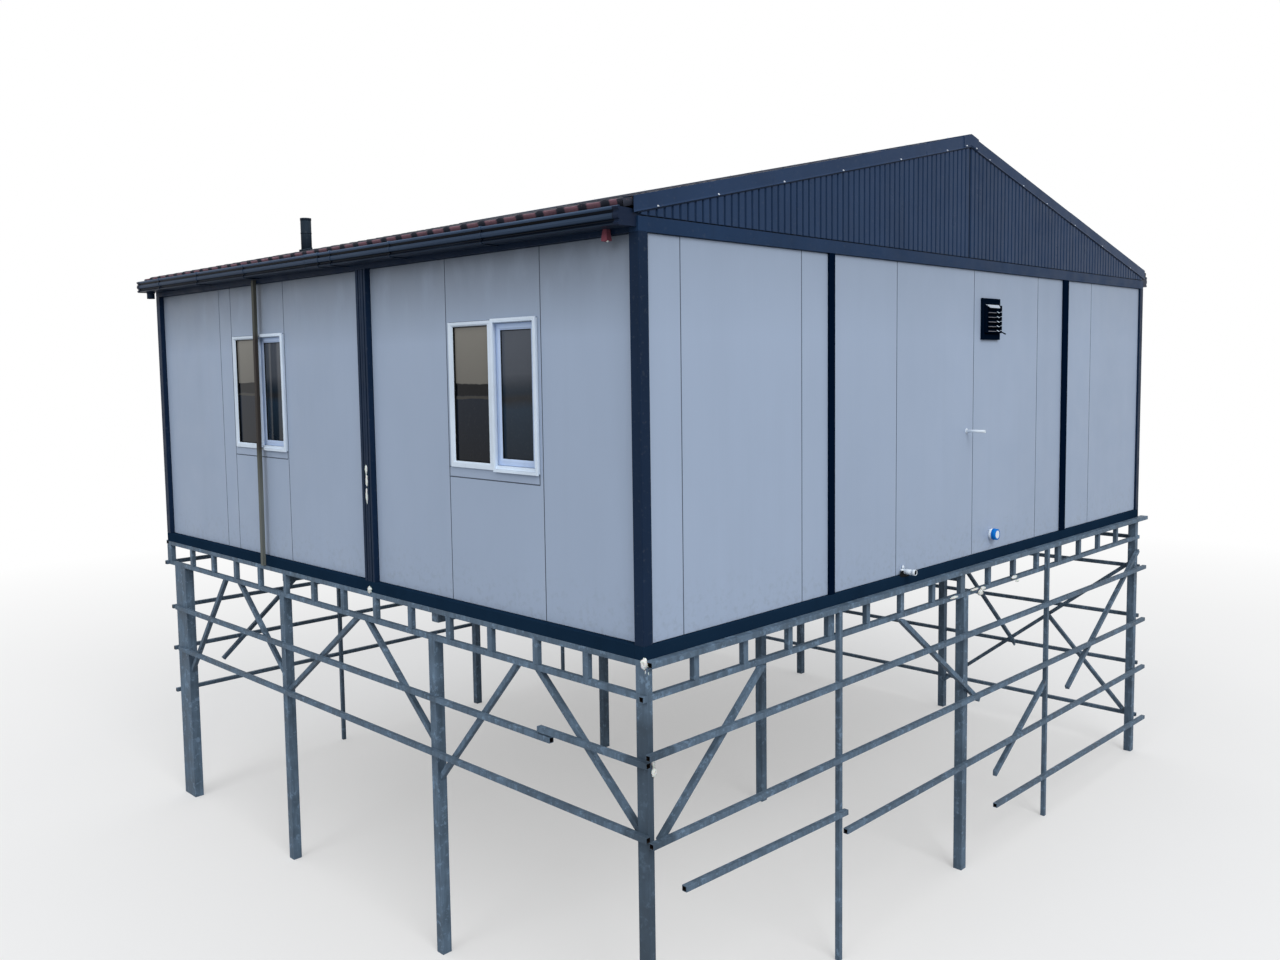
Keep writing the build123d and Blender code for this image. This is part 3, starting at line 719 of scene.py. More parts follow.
def ribs_tree():
    """Tree of upright ribs under a gable slope, each as long as the slope allows."""
    tree, start = new_tree(
        "Gable ribs", Unit="Object", Count="Int", Pitch="Float", First="Float", Height="Float",
        Slope="Float", Material="Material",
    )
    first = put(tree, "ShaderNodeCombineXYZ", {0: start["First"]}).outputs[0]
    step = put(tree, "ShaderNodeCombineXYZ", {0: start["Pitch"]}).outputs[0]
    line = put(tree, "GeometryNodeMeshLine", {
        "Count": start["Count"], "Start Location": first, "Offset": step,
    }, mode="OFFSET").outputs[0]
    place = put(tree, "GeometryNodeInputPosition").outputs[0]
    out = put(tree, "ShaderNodeSeparateXYZ", {0: place}).outputs[0]
    rise = calc(tree, "SUBTRACT", start["Height"], calc(tree, "MULTIPLY", out, start["Slope"]))
    size = put(tree, "ShaderNodeCombineXYZ", {0: 1.0, 1: 1.0, 2: rise}).outputs[0]
    unit = put(tree, "GeometryNodeObjectInfo", {"Object": start["Unit"]}).outputs["Geometry"]
    values = {"Points": line, "Instance": unit, "Scale": size}
    ribs = put(tree, "GeometryNodeInstanceOnPoints", values)
    close_tree(tree, ribs.outputs[0], start["Material"])
    return tree


def tiles_tree():
    """Tree of one stepped roof sheet with narrow rolls: X up the slope and Y along the eave."""
    tree, start = new_tree(
        "Tile sheet", Length="Float", Columns="Int", Rows="Int", Course="Float", Pitch="Float",
        Phase="Float", Roll="Float", Step="Float", Cover="Float", Material="Material",
    )

    def work(operation, first, second=0.0):
        return calc(tree, operation, first, second)

    def choose(index, values):
        """The value that belongs to a whole number."""
        node = put(tree, "GeometryNodeIndexSwitch", data_type="FLOAT")
        while len(node.index_switch_items) < len(values):
            node.index_switch_items.new()
        inputs = {str(number): value for number, value in enumerate(values)}
        feed(tree, node, {"Index": index, **inputs})
        return node.outputs[0]

    grid = put(tree, "GeometryNodeMeshGrid", {
        "Size X": 1.0, "Size Y": 1.0, "Vertices X": start["Rows"], "Vertices Y": start["Columns"],
    })
    place = put(tree, "GeometryNodeInputPosition").outputs[0]
    parts = put(tree, "ShaderNodeSeparateXYZ", {0: place}).outputs
    last_row = work("SUBTRACT", start["Rows"], 1.0)
    row = work("ROUND", work("MULTIPLY", work("ADD", parts[0], 0.5), last_row))
    course = work("FLOOR", work("DIVIDE", work("ADD", row, 0.5), float(rows_per_course)))
    earlier = work("MULTIPLY", course, float(rows_per_course))
    part = work("ROUND", work("SUBTRACT", row, earlier))
    half_course = work("MULTIPLY", start["Course"], 0.5)
    low_rise = work("MULTIPLY", start["Step"], 0.7)
    half_rise = work("MULTIPLY", start["Step"], 0.5)
    beyond = choose(part, (0.0, -0.005, 0.006, half_course))
    height = choose(part, (0.0, low_rise, start["Step"], half_rise))
    up = work("ADD", work("MULTIPLY", course, start["Course"]), beyond)
    along = work("MULTIPLY", work("ADD", parts[1], 0.5), start["Length"])
    from_roll = work("DIVIDE", work("SUBTRACT", along, start["Phase"]), start["Pitch"])
    wave = work("COSINE", work("MULTIPLY", from_roll, 2 * math.pi))
    swell = work("ADD", work("MULTIPLY", wave, 0.5), 0.5)
    # Mark for painted shade, stored as roll: 1 on the rolls and on the sheet ends that the rake
    # trims cover
    from_end = work("MINIMUM", along, work("SUBTRACT", start["Length"], along))
    uncovered = work("GREATER_THAN", from_end, start["Cover"])
    tone = work("MAXIMUM", swell, work("SUBTRACT", 1.0, uncovered))
    bank = work("MULTIPLY", work("SUBTRACT", swell, 0.70), 5.0)
    bank = work("MINIMUM", work("MAXIMUM", bank, 0.0), 1.0)
    rolled = work("MULTIPLY", work("MULTIPLY", bank, uncovered), start["Roll"])
    values = {0: up, 1: along, 2: work("ADD", rolled, height)}
    target = put(tree, "ShaderNodeCombineXYZ", values).outputs[0]
    marked = put(tree, "GeometryNodeStoreNamedAttribute", {
        "Geometry": grid.outputs[0], "Name": "roll", "Value": tone,
    }, data_type="FLOAT", domain="POINT")
    moved = put(tree, "GeometryNodeSetPosition", {
        "Geometry": marked.outputs[0], "Position": target,
    })
    close_tree(tree, moved.outputs[0], start["Material"])
    return tree


# Pieces

class HOUSE_OT_steelwork(bpy.types.Operator):
    """Dress the posts, chords, studs, rails and braces under the house"""

    bl_idname = "house.steelwork"
    bl_label = "Understructure"

    def execute(self, context):
        sizes = context.scene.house_sizes
        # Axis along which the tubes of a node run and show their open ends
        open_along = {
            "gable_upper_chords": 0, "gable_lower_chords": 0, "gable_rails": 0, "side_rails": 1,
        }
        for node in (
            "main_posts", "slim_posts", "gable_upper_chords", "side_upper_chords",
            "gable_lower_chords", "side_lower_chords", "gable_studs", "side_studs", "gable_rails",
            "side_rails", "gable_braces", "side_braces",
        ):
            dress(
                node, node + "_steel", ("brushed_primer", "tube_inside"),
                sizes.edge, open_along.get(node), sizes.tube_wall,
            )
        return {"FINISHED"}


class HOUSE_OT_framework(bpy.types.Operator):
    """Dress the posts, rails, strips and beams of the house"""

    bl_idname = "house.framework"
    bl_label = "House frame"

    def execute(self, context):
        coats = {
            "gable_base_rails": "rail_paint", "side_base_rails": "rail_paint",
            "corner_posts": "navy_paint", "gable_top_beams": "beam_paint",
        }
        for node, coat in coats.items():
            dress(node, node + "_folded", (coat,), 0.003)
        dress("gable_wall_strips", "gable_cover_strips", ("strip_paint",), 0.002)
        self.double_posts()
        return {"FINISHED"}

    def double_posts(self):
        """Pairs of lipped posts with a groove down each face."""
        pair_start, pair_end = 2.9975, 3.1385
        width, groove, groove_depth, depth = 0.068, 0.012, 0.010, 0.08
        lip = width * 0.36
        outline = [
            (0.0, 0.0), (0.0, lip), (groove_depth, lip), (groove_depth, lip + groove),
            (0.0, lip + groove), (0.0, width), (depth, width), (depth, 0.0),
        ]
        shape = bmesh.new()
        for start in (pair_start, pair_end - width):
            for side in (0, 1):
                def place(x, y, z, start=start, side=side):
                    return at(mirrored(side, x), start + y, z)
                add_prism(shape, outline, place, base_top, beam_foot)
        soften(shape, 0.0025)
        add_shape("double_posts", shape, "frame_paint", ("navy_paint",), "side_wall_posts")


class HOUSE_OT_walls(bpy.types.Operator):
    """Dress the wall panels with grooved seams"""

    bl_idname = "house.walls"
    bl_label = "Wall panels"

    def execute(self, context):
        seam = context.scene.house_sizes.seam
        for node in ("front_wall", "rear_wall", "left_wall", "right_wall"):
            shape = merged_copy(node)
            # Painted shadow: the side of a groove that looks left, forward or up is the dark one
            for face in soften(shape, seam, 1):
                light = face.normal.x + face.normal.y * 0.9 - face.normal.z * 0.8
                face.material_index = int(light < 0)
            materials = ("panel_coating", "seam_shadow")
            add_shape(node + "_panels", shape, "panel_paint", materials, node)
        return {"FINISHED"}


class HOUSE_OT_roof_sheets(bpy.types.Operator):
    """Lay the tile-effect sheets of both slopes"""

    bl_idname = "house.roof_sheets"
    bl_label = "Roof sheets"

    def execute(self, context):
        sizes = context.scene.house_sizes
        lift, first_roll, rake_lap, columns = 0.001, 0.162, 0.045, 357
        start = sheet_low.y - corner.y
        run = (ridge_x - eave_x) / math.cos(pitch)
        flat = grown("tile_sheet", tiles_tree(), {
            "Length": sheet_high.y - sheet_low.y, "Columns": columns,
            "Rows": sizes.courses * rows_per_course + 1, "Course": run / sizes.courses,
            "Pitch": sizes.tile_pitch, "Phase": first_roll - start, "Roll": sizes.tile_roll,
            "Step": sizes.tile_step, "Cover": rake_lap, "Material": finish("tile_coating"),
        })
        eave_top = ridge_sheet_top - slope * (ridge_x - eave_x) + lift / math.cos(pitch)
        for side, label in enumerate(("left", "right")):
            shape = bmesh.new()
            shape.from_mesh(flat)
            rim = [edge for edge in shape.edges if edge.is_boundary]
            skirt = bmesh.ops.extrude_edge_only(shape, edges=rim)["geom"]
            for item in skirt:
                if isinstance(item, bmesh.types.BMVert):
                    item.co.z = -lift - sheet_thickness
            edges = [item for item in skirt if isinstance(item, bmesh.types.BMEdge)]
            closing = [edge for edge in edges if edge.is_boundary]
            bmesh.ops.contextual_create(shape, geom=closing)
            for face in shape.faces:
                face.smooth = len(face.verts) == 4
                face.material_index = 0
            for vert in shape.verts:
                up, along, out = vert.co
                x = eave_x + up * math.cos(pitch) - out * math.sin(pitch)
                z = eave_top + up * math.sin(pitch) + out * math.cos(pitch)
                vert.co = at(mirrored(side, x), start + along, z)
            sheet = label + "_roof_sheet"
            add_shape(label + "_roof_tiles", shape, "roof_paint", ("tile_coating",), sheet)
        return {"FINISHED"}


class HOUSE_OT_cladding_ribs(bpy.types.Operator):
    """Set the upright ribs on the gable sheets"""

    bl_idname = "house.cladding_ribs"
    bl_label = "Gable ribs"

    def execute(self, context):
        sizes = context.scene.house_sizes
        first, ridge_gap, sheet_face, under_trim = 0.047, 0.02, 0.015, 0.05
        base_half, crest_half, depth = 0.0295, 0.0245, sizes.rib_depth
        # The ribs stop above the beam so that the painted shade of the sheet shows there as a dark
        # line
        foot = beam_top + 0.009
        unit = bmesh.new()
        outline = [(-base_half, 0.0), (-crest_half, -depth), (crest_half, -depth), (base_half, 0.0)]
        add_prism(unit, outline, lambda x, y, z: Vector((x, y, z)), 0.0, 1.0)
        holder = bpy.data.objects.new("rib_unit", baked(unit, "rib_unit"))
        bpy.context.scene.collection.objects.link(holder)
        half = grown("gable_ribs_half", ribs_tree(), {
            "Unit": holder, "Count": int((ridge_x - first - ridge_gap) / sizes.rib_pitch) + 1,
            "Pitch": sizes.rib_pitch, "First": first, "Slope": slope,
            "Height": ridge_sheet_top + rake_cover - under_trim - foot,
            "Material": finish("cladding_paint"),
        })
        bpy.data.objects.remove(holder)
        gables = (("front", sheet_face, 1), ("rear", house_depth - sheet_face, -1))
        for name, face, outward in gables:
            shape = bmesh.new()
            for side in (1, -1):
                shape.from_mesh(half)
                for vert in [vert for vert in shape.verts if not vert.tag]:
                    x, y, z = vert.co
                    vert.co = at(ridge_x + side * x, face + outward * y, foot + z)
                    vert.tag = True
            add_shape(name + "_gable_ribs", shape, "frame_paint", ("cladding_paint",))
        return {"FINISHED"}


def rake_top(x):
    """Height of the upper edge of the rake trims."""
    return ridge_sheet_top + rake_cover - slope * (ridge_x - min(x, house_length - x))


class HOUSE_OT_rake_trims(bpy.types.Operator):
    """Fold the trims along both rakes of both gables"""

    bl_idname = "house.rake_trims"
    bl_label = "Rake trims"

    def execute(self, context):
        shape = bmesh.new()
        joint, lap, overhang = 6.12, 0.05, 0.035
        cover, skin = 0.087, 0.0016
        path = [
            (cover, -0.016), (cover, 0.0), (0.0, 0.0), (0.0, 0.012 - rake_height),
            (-0.004, 0.002 - rake_height), (0.004, -rake_height),
        ]
        # A dark strip in the cladding shade under the lower edge of each trim is a painted shadow
        # line
        shadow_foot, shadow_head = -rake_height - 0.007, 0.004 - rake_height
        hem = [(0.001, shadow_foot), (0.012, shadow_foot), (0.012, shadow_head), (0.001, shadow_head)]
        # Start, end, gable line, how far it stands proud, and which way the gable looks
        lengths = (
            (-overhang, ridge_x, 0.0, 0.0, 1), (ridge_x, joint, 0.0, 0.0, 1),
            (joint - lap, house_length + overhang, 0.0, 0.0012, 1),
            (0.0, ridge_x, house_depth, 0.0, -1), (ridge_x, house_length, house_depth, 0.0, -1),
        )
        for start, end, face, proud, outward in lengths:
            outline = [(y - proud, z + proud) for y, z in strip_outline(path, skin + proud)]
            def place(y, z, x, face=face, outward=outward):
                return at(x, face + outward * y, rake_top(x) + z)
            add_prism(shape, outline, place, start, end)
            # Painted shadow strip under the trim
            add_prism(shape, hem, place, max(start, 0.0), min(end, house_length), 1)
        materials = ("cladding_paint", "cladding_shade")
        add_shape("rake_trims_folded", shape, "frame_paint", materials, "rake_trims")
        return {"FINISHED"}


class HOUSE_OT_ridge_cap(bpy.types.Operator):
    """Fold the ridge cap and its end plates"""

    bl_idname = "house.ridge_cap"
    bl_label = "Ridge cap"

    def execute(self, context):
        shape = bmesh.new()
        half, skin, hem, drop, tuck = 0.127, 0.003, 0.014, 0.094, 0.006
        edge = -slope * half
        peak = ridge_sheet_top + rake_cover + 0.0083
        def place(x, z, y):
            return at(ridge_x + x, y, peak + z)
        path = [(-half, edge - hem), (-half, edge), (-0.02, -slope * 0.02 + 0.002), (0.0, 0.0)]
        path += [(-x, z) for x, z in path[-2::-1]]
        add_prism(shape, strip_outline(path, -skin), place, -0.004, house_depth + 0.004)
        plate = [
            (-half, edge), (0.0, 0.0), (half, edge), (half - tuck, edge - drop), (0.0, -drop),
            (tuck - half, edge - drop),
        ]
        for start, end in ((-0.005, -0.0005), (house_depth + 0.0005, house_depth + 0.005)):
            add_prism(shape, plate, place, start, end)
        add_shape("ridge_cap_folded", shape, "roof_paint", ("cladding_paint",), "ridge_cap")
        return {"FINISHED"}


def screw_unit():
    """A hexagon head on its washer, pointing up."""
    shape = bmesh.new()
    for foot, head, radius, sides in ((0, 0.002, 0.0068, 16), (0.002, 0.007, 0.0046, 6)):
        add_tube(shape, Vector((0, 0, foot)), Vector((0, 0, head)), radius, 0.0, sides)
    for face in shape.faces:
        face.smooth = False
    return baked(shape, "screw_unit")


class HOUSE_OT_screws(bpy.types.Operator):
    """Drive the screws of the rake trims and the ridge cap"""

    bl_idname = "house.screws"
    bl_label = "Screws"

    def execute(self, context):
        quarter = math.pi / 2
        along = (0.169, 0.727, 1.413, 2.117, 2.903, 3.62, 4.36, 5.02, 5.521, 6.168, 6.86, 7.644)
        lift = 0.009 - rake_height
        front = [at(x, 0.0, rake_top(x) + lift) for x in along]
        front += [at(ridge_x + x, -0.005, rake_top(ridge_x) - 0.100) for x in (-0.085, 0.085)]
        rear = [at(x, house_depth, rake_top(x) + lift) for x in along]
        rows = [
            ("front_trim_screws", front, "frame_paint", (quarter, 0, 0)),
            ("rear_trim_screws", rear, "frame_paint", (-quarter, 0, 0)),
        ]
        count, end_gap, ridge_gap = 18, 0.16, 0.105
        for side, sign in (("left", -1), ("right", 1)):
            x = ridge_x + sign * ridge_gap
            z = rake_top(x) + 0.0088
            run = house_depth - 2 * end_gap
            points = [at(x, end_gap + index * run / (count - 1), z) for index in range(count)]
            rows.append((side + "_ridge_screws", points, "roof_paint", (0, sign * pitch, 0)))
        for name, points, slot, turn in rows:
            add_copies(name, points, screw_unit(), "zinc", turn)
        return {"FINISHED"}


def gutter_path():
    """Section of the gutter, out and up, from the wall round the bottom to the rolled lip."""
    width, lip = 0.150, 0.0095
    folds = (
        (0.012, 0.0), (0.006, 0.003), (0.004, 0.010), (0.016, 0.022), (0.016, 0.030),
        (0.004, 0.040), (0.001, 0.052), (0.004, 0.066), (0.012, 0.076), (0.010, 0.086),
    )
    path = [(0.0, gutter_height - 0.014), (0.0, 0.004), (0.004, 0.0)]
    path += [(width - inward, up) for inward, up in folds]
    for step in range(8):
        turn = math.radians(-60 + step * 40)
        out, up = width - lip + lip * math.cos(turn), gutter_height - lip + lip * math.sin(turn)
        path.append((out, up))
    return path


class HOUSE_OT_gutters(bpy.types.Operator):
    """Make the gutters with their brackets, unions, stop ends and outlets"""

    bl_idname = "house.gutters"
    bl_label = "Gutters"

    def execute(self, context):
        shape = bmesh.new()
        for side in (0, 1):
            def place(out, up, y, side=side):
                rise = gutter_climb * y / house_depth
                return at(mirrored(side, -out), y, gutter_foot + up + rise)
            outline = strip_outline(gutter_path(), 0.0028)
            add_prism(shape, outline, place, gutter_start + 0.002, gutter_end - 0.002)
            self.ends(shape, place)
            self.bands(shape, place)
            self.outlet(shape, place)
        materials = ("gutter_coating", "stop_end", "rubber")
        add_shape("gutters_with_fittings", shape, "gutter_plastic", materials, "gutters")
        return {"FINISHED"}

    def ends(self, shape, place):
        """Stop ends with a rim around the section and a dark line behind the rim."""
        plate, width, gap = 0.003, 0.045, 0.005
        section = gutter_path()[:-5]
        rim = strip_outline(section[1:], -0.0035)
        line = strip_outline(section[1:], -0.0020)
        for start, end in ((gutter_start, gutter_start + plate), (gutter_end - plate, gutter_end)):
            add_prism(shape, section, place, start, end, 1)
        for tip, inward in ((gutter_start, 1), (gutter_end, -1)):
            rim_end = tip + inward * width
            add_prism(shape, rim, place, tip, rim_end, 1)
            add_prism(shape, line, place, rim_end, tip + inward * (width + gap), 2)

    def bands(self, shape, place):
        """Brackets that wrap the gutter, and a union between two lengths."""
        union = (3.455, 3.662)
        around = gutter_path()[1:]
        hoop = strip_outline(around, -0.0045)
        strap = [(-0.001, -0.004), (0.112, -0.0045), (0.112, -0.0075), (-0.001, -0.007)]
        for y in (1.322, 2.419, 3.265, 4.768, 5.734, 6.62):
            add_prism(shape, hoop, place, y - 0.010, y + 0.010)
            add_prism(shape, strap, place, y - 0.013, y + 0.013)
        add_prism(shape, strip_outline(around, -0.0030), place, *union)
        for y in union:
            add_prism(shape, hoop, place, y - 0.007, y + 0.007)

    def outlet(self, shape, place):
        """Round spout with a collar under the rear end of the gutter."""
        top = place(0.075, 0.004, house_depth - 0.060)
        for drop, radius, bore in ((0.075, 0.0375, 0.0335), (0.018, 0.0425, 0.0376)):
            add_tube(shape, top, top - Vector((0, 0, drop)), radius, bore)


class HOUSE_OT_windows(bpy.types.Operator):
    """Make the window frames, opening lights, gaskets and fly screens"""

    bl_idname = "house.windows"
    bl_label = "Windows"
    middles = (1.475, 4.923)
    width, frame_bar, mullion, head_share = 0.975, 0.046, 0.066, 0.6

    def execute(self, context):
        sizes = context.scene.house_sizes
        frames, sashes, seals, screens, fixed, opening = [bmesh.new() for _ in range(6)]
        for side in (0, 1):
            def wall(y, depth, z, side=side):
                return at(mirrored(side, depth), y, z)
            for middle in self.middles:
                low = middle - self.width / 2
                high = middle + self.width / 2
                self.casing(frames, seals, fixed, wall, low, high, middle, sizes.bead)
                self.opening_light(sashes, seals, opening, wall, low, middle, sizes)
                self.screen(screens, wall, low)
        for name, shape, slot, coat, nodes in (
            ("window_casings", frames, "white_frame", "white_plastic", ("window_frames",)),
            ("window_sashes", sashes, "white_frame", "sash_plastic", ()),
            ("window_gaskets", seals, "black_plastic", "rubber", ()),
            ("fly_screen_frames", screens, "white_frame", "white_plastic", ("screen_frames",)),
            ("fixed_panes", fixed, "window_pane", "fixed_glass", ("window_glass",)),
            ("sash_panes", opening, "window_pane", "sash_glass", ()),
        ):
            add_shape(name, shape, slot, (coat,), *nodes)
        return {"FINISHED"}

    def pane(self, shape, wall, low, high, foot, head, face):
        """Double glazing, with its front at a given depth."""
        back = face + 0.018
        add_prism(shape, [(low, face), (high, face), (high, back), (low, back)], wall, foot, head)

    def casing(self, shape, seals, panes, wall, low, high, middle, bead):
        """Outer frame, mullion, and the bead and gasket of the fixed light."""
        face, back, bead_back, gasket_back = window_face, 0.090, 0.062, 0.064
        bar = self.frame_bar - bead
        profile = [
            (0.0, back), (0.0, face + 0.003), (0.003, face), (bar - 0.002, face),
            (bar, face + 0.002), (bar, back),
        ]
        add_ring(shape, wall, low, high, window_sill, window_head, profile, self.head_share)
        half = self.mullion / 2 - bead * 0.6
        post = [
            (-half, back), (-half, face + 0.002), (0.002 - half, face), (half - 0.002, face),
            (half, face + 0.002), (half, back),
        ]
        foot, top = window_sill + bar, window_head - bar * self.head_share
        add_prism(shape, [(middle + y, depth) for y, depth in post], wall, foot, top)
        start, end = middle + half, high - bar
        profile = [
            (0.0, bead_back), (0.0, face + 0.004), (0.004, face + 0.004), (bead, face + 0.012),
            (bead, bead_back),
        ]
        add_ring(shape, wall, start, end, foot, top, profile)
        gasket = [
            (bead, gasket_back), (bead, face + 0.013), (bead + 0.005, face + 0.017),
            (bead + 0.005, gasket_back),
        ]
        add_ring(seals, wall, start, end, foot, top, gasket)
        self.pane(panes, wall, start + bead, end - bead, foot + bead, top - bead, 0.056)

    def opening_light(self, shape, seals, panes, wall, low, middle, sizes):
        """Sash set back in the frame, with its bead and gasket."""
        play, back, gasket_back = 0.002, 0.092, 0.078
        bar = self.frame_bar - sizes.bead
        start = low + bar + play
        end = middle - self.mullion / 2 + sizes.bead * 0.6 - play
        foot, top = window_sill + bar + play, window_head - bar * self.head_share - play
        face, wide = window_face + 0.026, sizes.sash_bar
        sash = [
            (0.0, back), (0.0, face + 0.003), (0.003, face), (wide - 0.014, face),
            (wide, face + 0.008), (wide, back),
        ]
        add_ring(shape, wall, start, end, foot, top, sash)
        gasket = [
            (wide, gasket_back), (wide, face + 0.009), (wide + 0.005, face + 0.012),
            (wide + 0.005, gasket_back),
        ]
        add_ring(seals, wall, start, end, foot, top, gasket)
        self.pane(panes, wall, start + wide, end - wide, foot + wide, top - wide, 0.072)

    def screen(self, shape, wall, low):
        """Fly screen of mitred bars with a groove for its cord."""
        face, back, bar, width, half_height = 0.018, window_face, 0.026, 0.475, 0.526
        start = low - bar / 4
        centre = (window_sill + window_head) / 2
        profile = [
            (0.0, back), (0.0, face + 0.002), (0.002, face), (0.017, face), (0.018, face + 0.002),
            (0.021, face + 0.002), (0.022, face), (bar - 0.001, face), (bar, face + 0.001),
            (bar, back),
        ]
        foot, top = centre - half_height, centre + half_height
        add_ring(shape, wall, start, start + width, foot, top, profile)


class HOUSE_OT_door(bpy.types.Operator):
    """Make the rear door with its frame, panels, hinges and handle"""

    bl_idname = "house.door"
    bl_label = "Rear door"

    def execute(self, context):
        leaf_low, leaf_high = span("rear_door")
        low, high = span("door_frame")
        dress("door_frame", "door_casing", ("white_plastic",), 0.003)
        shape = bmesh.new()
        add_block(shape, leaf_low, leaf_high)
        soften(shape, 0.003)
        face = leaf_high.y
        def wall(x, depth, z):
            return at(x, face + depth, z)
        margin, gap = 0.13, 0.12
        middle = leaf_low.z + 0.95
        raised = [(0.0, -0.002), (0.0, 0.0), (0.012, 0.005), (0.024, 0.0), (0.024, -0.002)]
        for foot, head in ((leaf_low.z + margin, middle), (middle + gap, leaf_high.z - margin)):
            add_ring(shape, wall, leaf_low.x + margin, leaf_high.x - margin, foot, head, raised)
        add_shape("rear_door_leaf", shape, "door_paint", ("door_coating",), "rear_door")
        metal = bmesh.new()
        x, z = leaf_low.x + 0.055, leaf_low.z + 0.98
        add_block(metal, (x - 0.02, face, z - 0.11), (x + 0.02, face + 0.006, z + 0.09))
        for height in (0.25, 1.0, 1.75):
            foot = at(high.x - 0.050, face + 0.004, leaf_low.z + height)
            add_tube(metal, foot, foot + Vector((0, 0, 0.10)), 0.008, 0.0, 16)
        stem, lock = at(x, face, z + 0.03), at(x, face, z - 0.055)
        tip = stem + Vector((0, 0.045, 0))
        add_tube(metal, stem, tip, 0.008, 0.0, 16)
        add_tube(metal, tip, tip + Vector((0.115, 0, 0)), 0.0075, 0.0, 16)
        add_tube(metal, lock, lock + Vector((0, 0.011, 0)), 0.009, 0.0, 16)
        bar = 0.055
        add_block(
            metal, (low.x + bar, face - 0.03, low.z), (high.x - bar, high.y + 0.004, low.z + 0.012),
        )
        add_shape("rear_door_fittings", metal, "white_frame", ("zinc",))
        return {"FINISHED"}


class HOUSE_OT_vent(bpy.types.Operator):
    """Make the louvred vent of the front wall"""

    bl_idname = "house.vent"
    bl_label = "Wall vent"

    def execute(self, context):
        low, high = span("wall_vent")
        face, rim = low.y, 0.05
        shape = bmesh.new()
        plate = [
            (0.0, wall_face), (0.0, face + 0.004), (0.006, face), (0.020, face),
            (0.024, face + 0.003), (0.046, face + 0.003), (0.056, face + 0.012), (0.056, wall_face),
        ]
        add_ring(shape, at, low.x, high.x, low.z, high.z, plate)
        add_block(
            shape, (low.x + rim, wall_face - 0.004, low.z + rim),
            (high.x - rim, wall_face - 0.001, high.z - rim),
        )
        left, right = low.x + 0.030, high.x - 0.018
        foot, head = low.z + 0.062, high.z - 0.060
        proud = face - 0.024
        for end in (left, right):
            add_block(shape, (end - 0.006, proud, foot), (end, face + 0.004, head))
        add_block(shape, (left, proud + 0.004, foot - 0.004), (right, face, foot + 0.002))
        start = at(right - 0.075, proud, foot + 0.022)
        add_tube(shape, start, start + Vector((0.062, -0.040, -0.036)), 0.0055, 0.0, 12)
        add_shape("vent_case", shape, "black_plastic", ("vent_black",), "wall_vent")
        self.blades(left, right, proud)
        return {"FINISHED"}

    def blades(self, left, right, proud):
        """Five tilted blades with pale front edges, lugs beside them, and a wide top blade."""
        first, pitch_down = 2.205, 0.0405
        centre = (left + right) / 2
        spots = [at(centre, proud, first - index * pitch_down) for index in range(5)]
        half = (right - left) / 2 - 0.008
        def along(y, z, x):
            return Vector((x, y, z))
        def flat(x, z, y):
            return Vector((half + x, y, z))
        blade, edge, lug, flap = [bmesh.new() for _ in range(4)]
        leaf = [(0.026, 0.018), (0.001, 0.001), (0.001, -0.003), (0.026, 0.014)]
        edge_outline = [(0.001, 0.001), (-0.005, 0.001), (-0.005, -0.0025), (0.001, -0.0025)]
        hook = [
            (-0.100, 0.011), (-0.074, 0.003), (-0.058, 0.004), (-0.056, 0.0), (-0.070, -0.003),
            (-0.100, 0.006),
        ]
        mark = [(-0.032, 0.008), (-0.020, 0.012), (-0.020, 0.008), (-0.032, 0.005)]
        add_prism(blade, leaf, along, -half, half)
        add_prism(edge, edge_outline, along, 0.012 - half, half - 0.107)
        for outline in (hook, mark):
            add_prism(lug, outline, flat, -0.010, -0.004)
        for name, unit, material, slot in (
            ("vent_blades", blade, "vent_black", "black_plastic"),
            ("vent_blade_edges", edge, "worn_edge", "black_plastic"),
            ("vent_lugs", lug, "white_plastic", "white_frame"),
        ):
            add_copies(name, spots, baked(unit, name + "_unit"), material)
        top, start, end, fall = first + 0.062, left + 0.002, right - 0.022, 0.030
        outline = [
            (0.020, top + 0.008), (-0.014, top - 0.018), (-0.014, top - 0.022),
            (0.020, top + 0.004),
        ]
        def tapered(y, z, x):
            narrower = 0.020 if x == start else -0.050
            return at(x + narrower * (top + 0.008 - z) / fall, proud + y, z)
        add_prism(flap, outline, tapered, start, end)
        add_shape("vent_top_blade", flap, "white_frame", ("flap_plastic",))


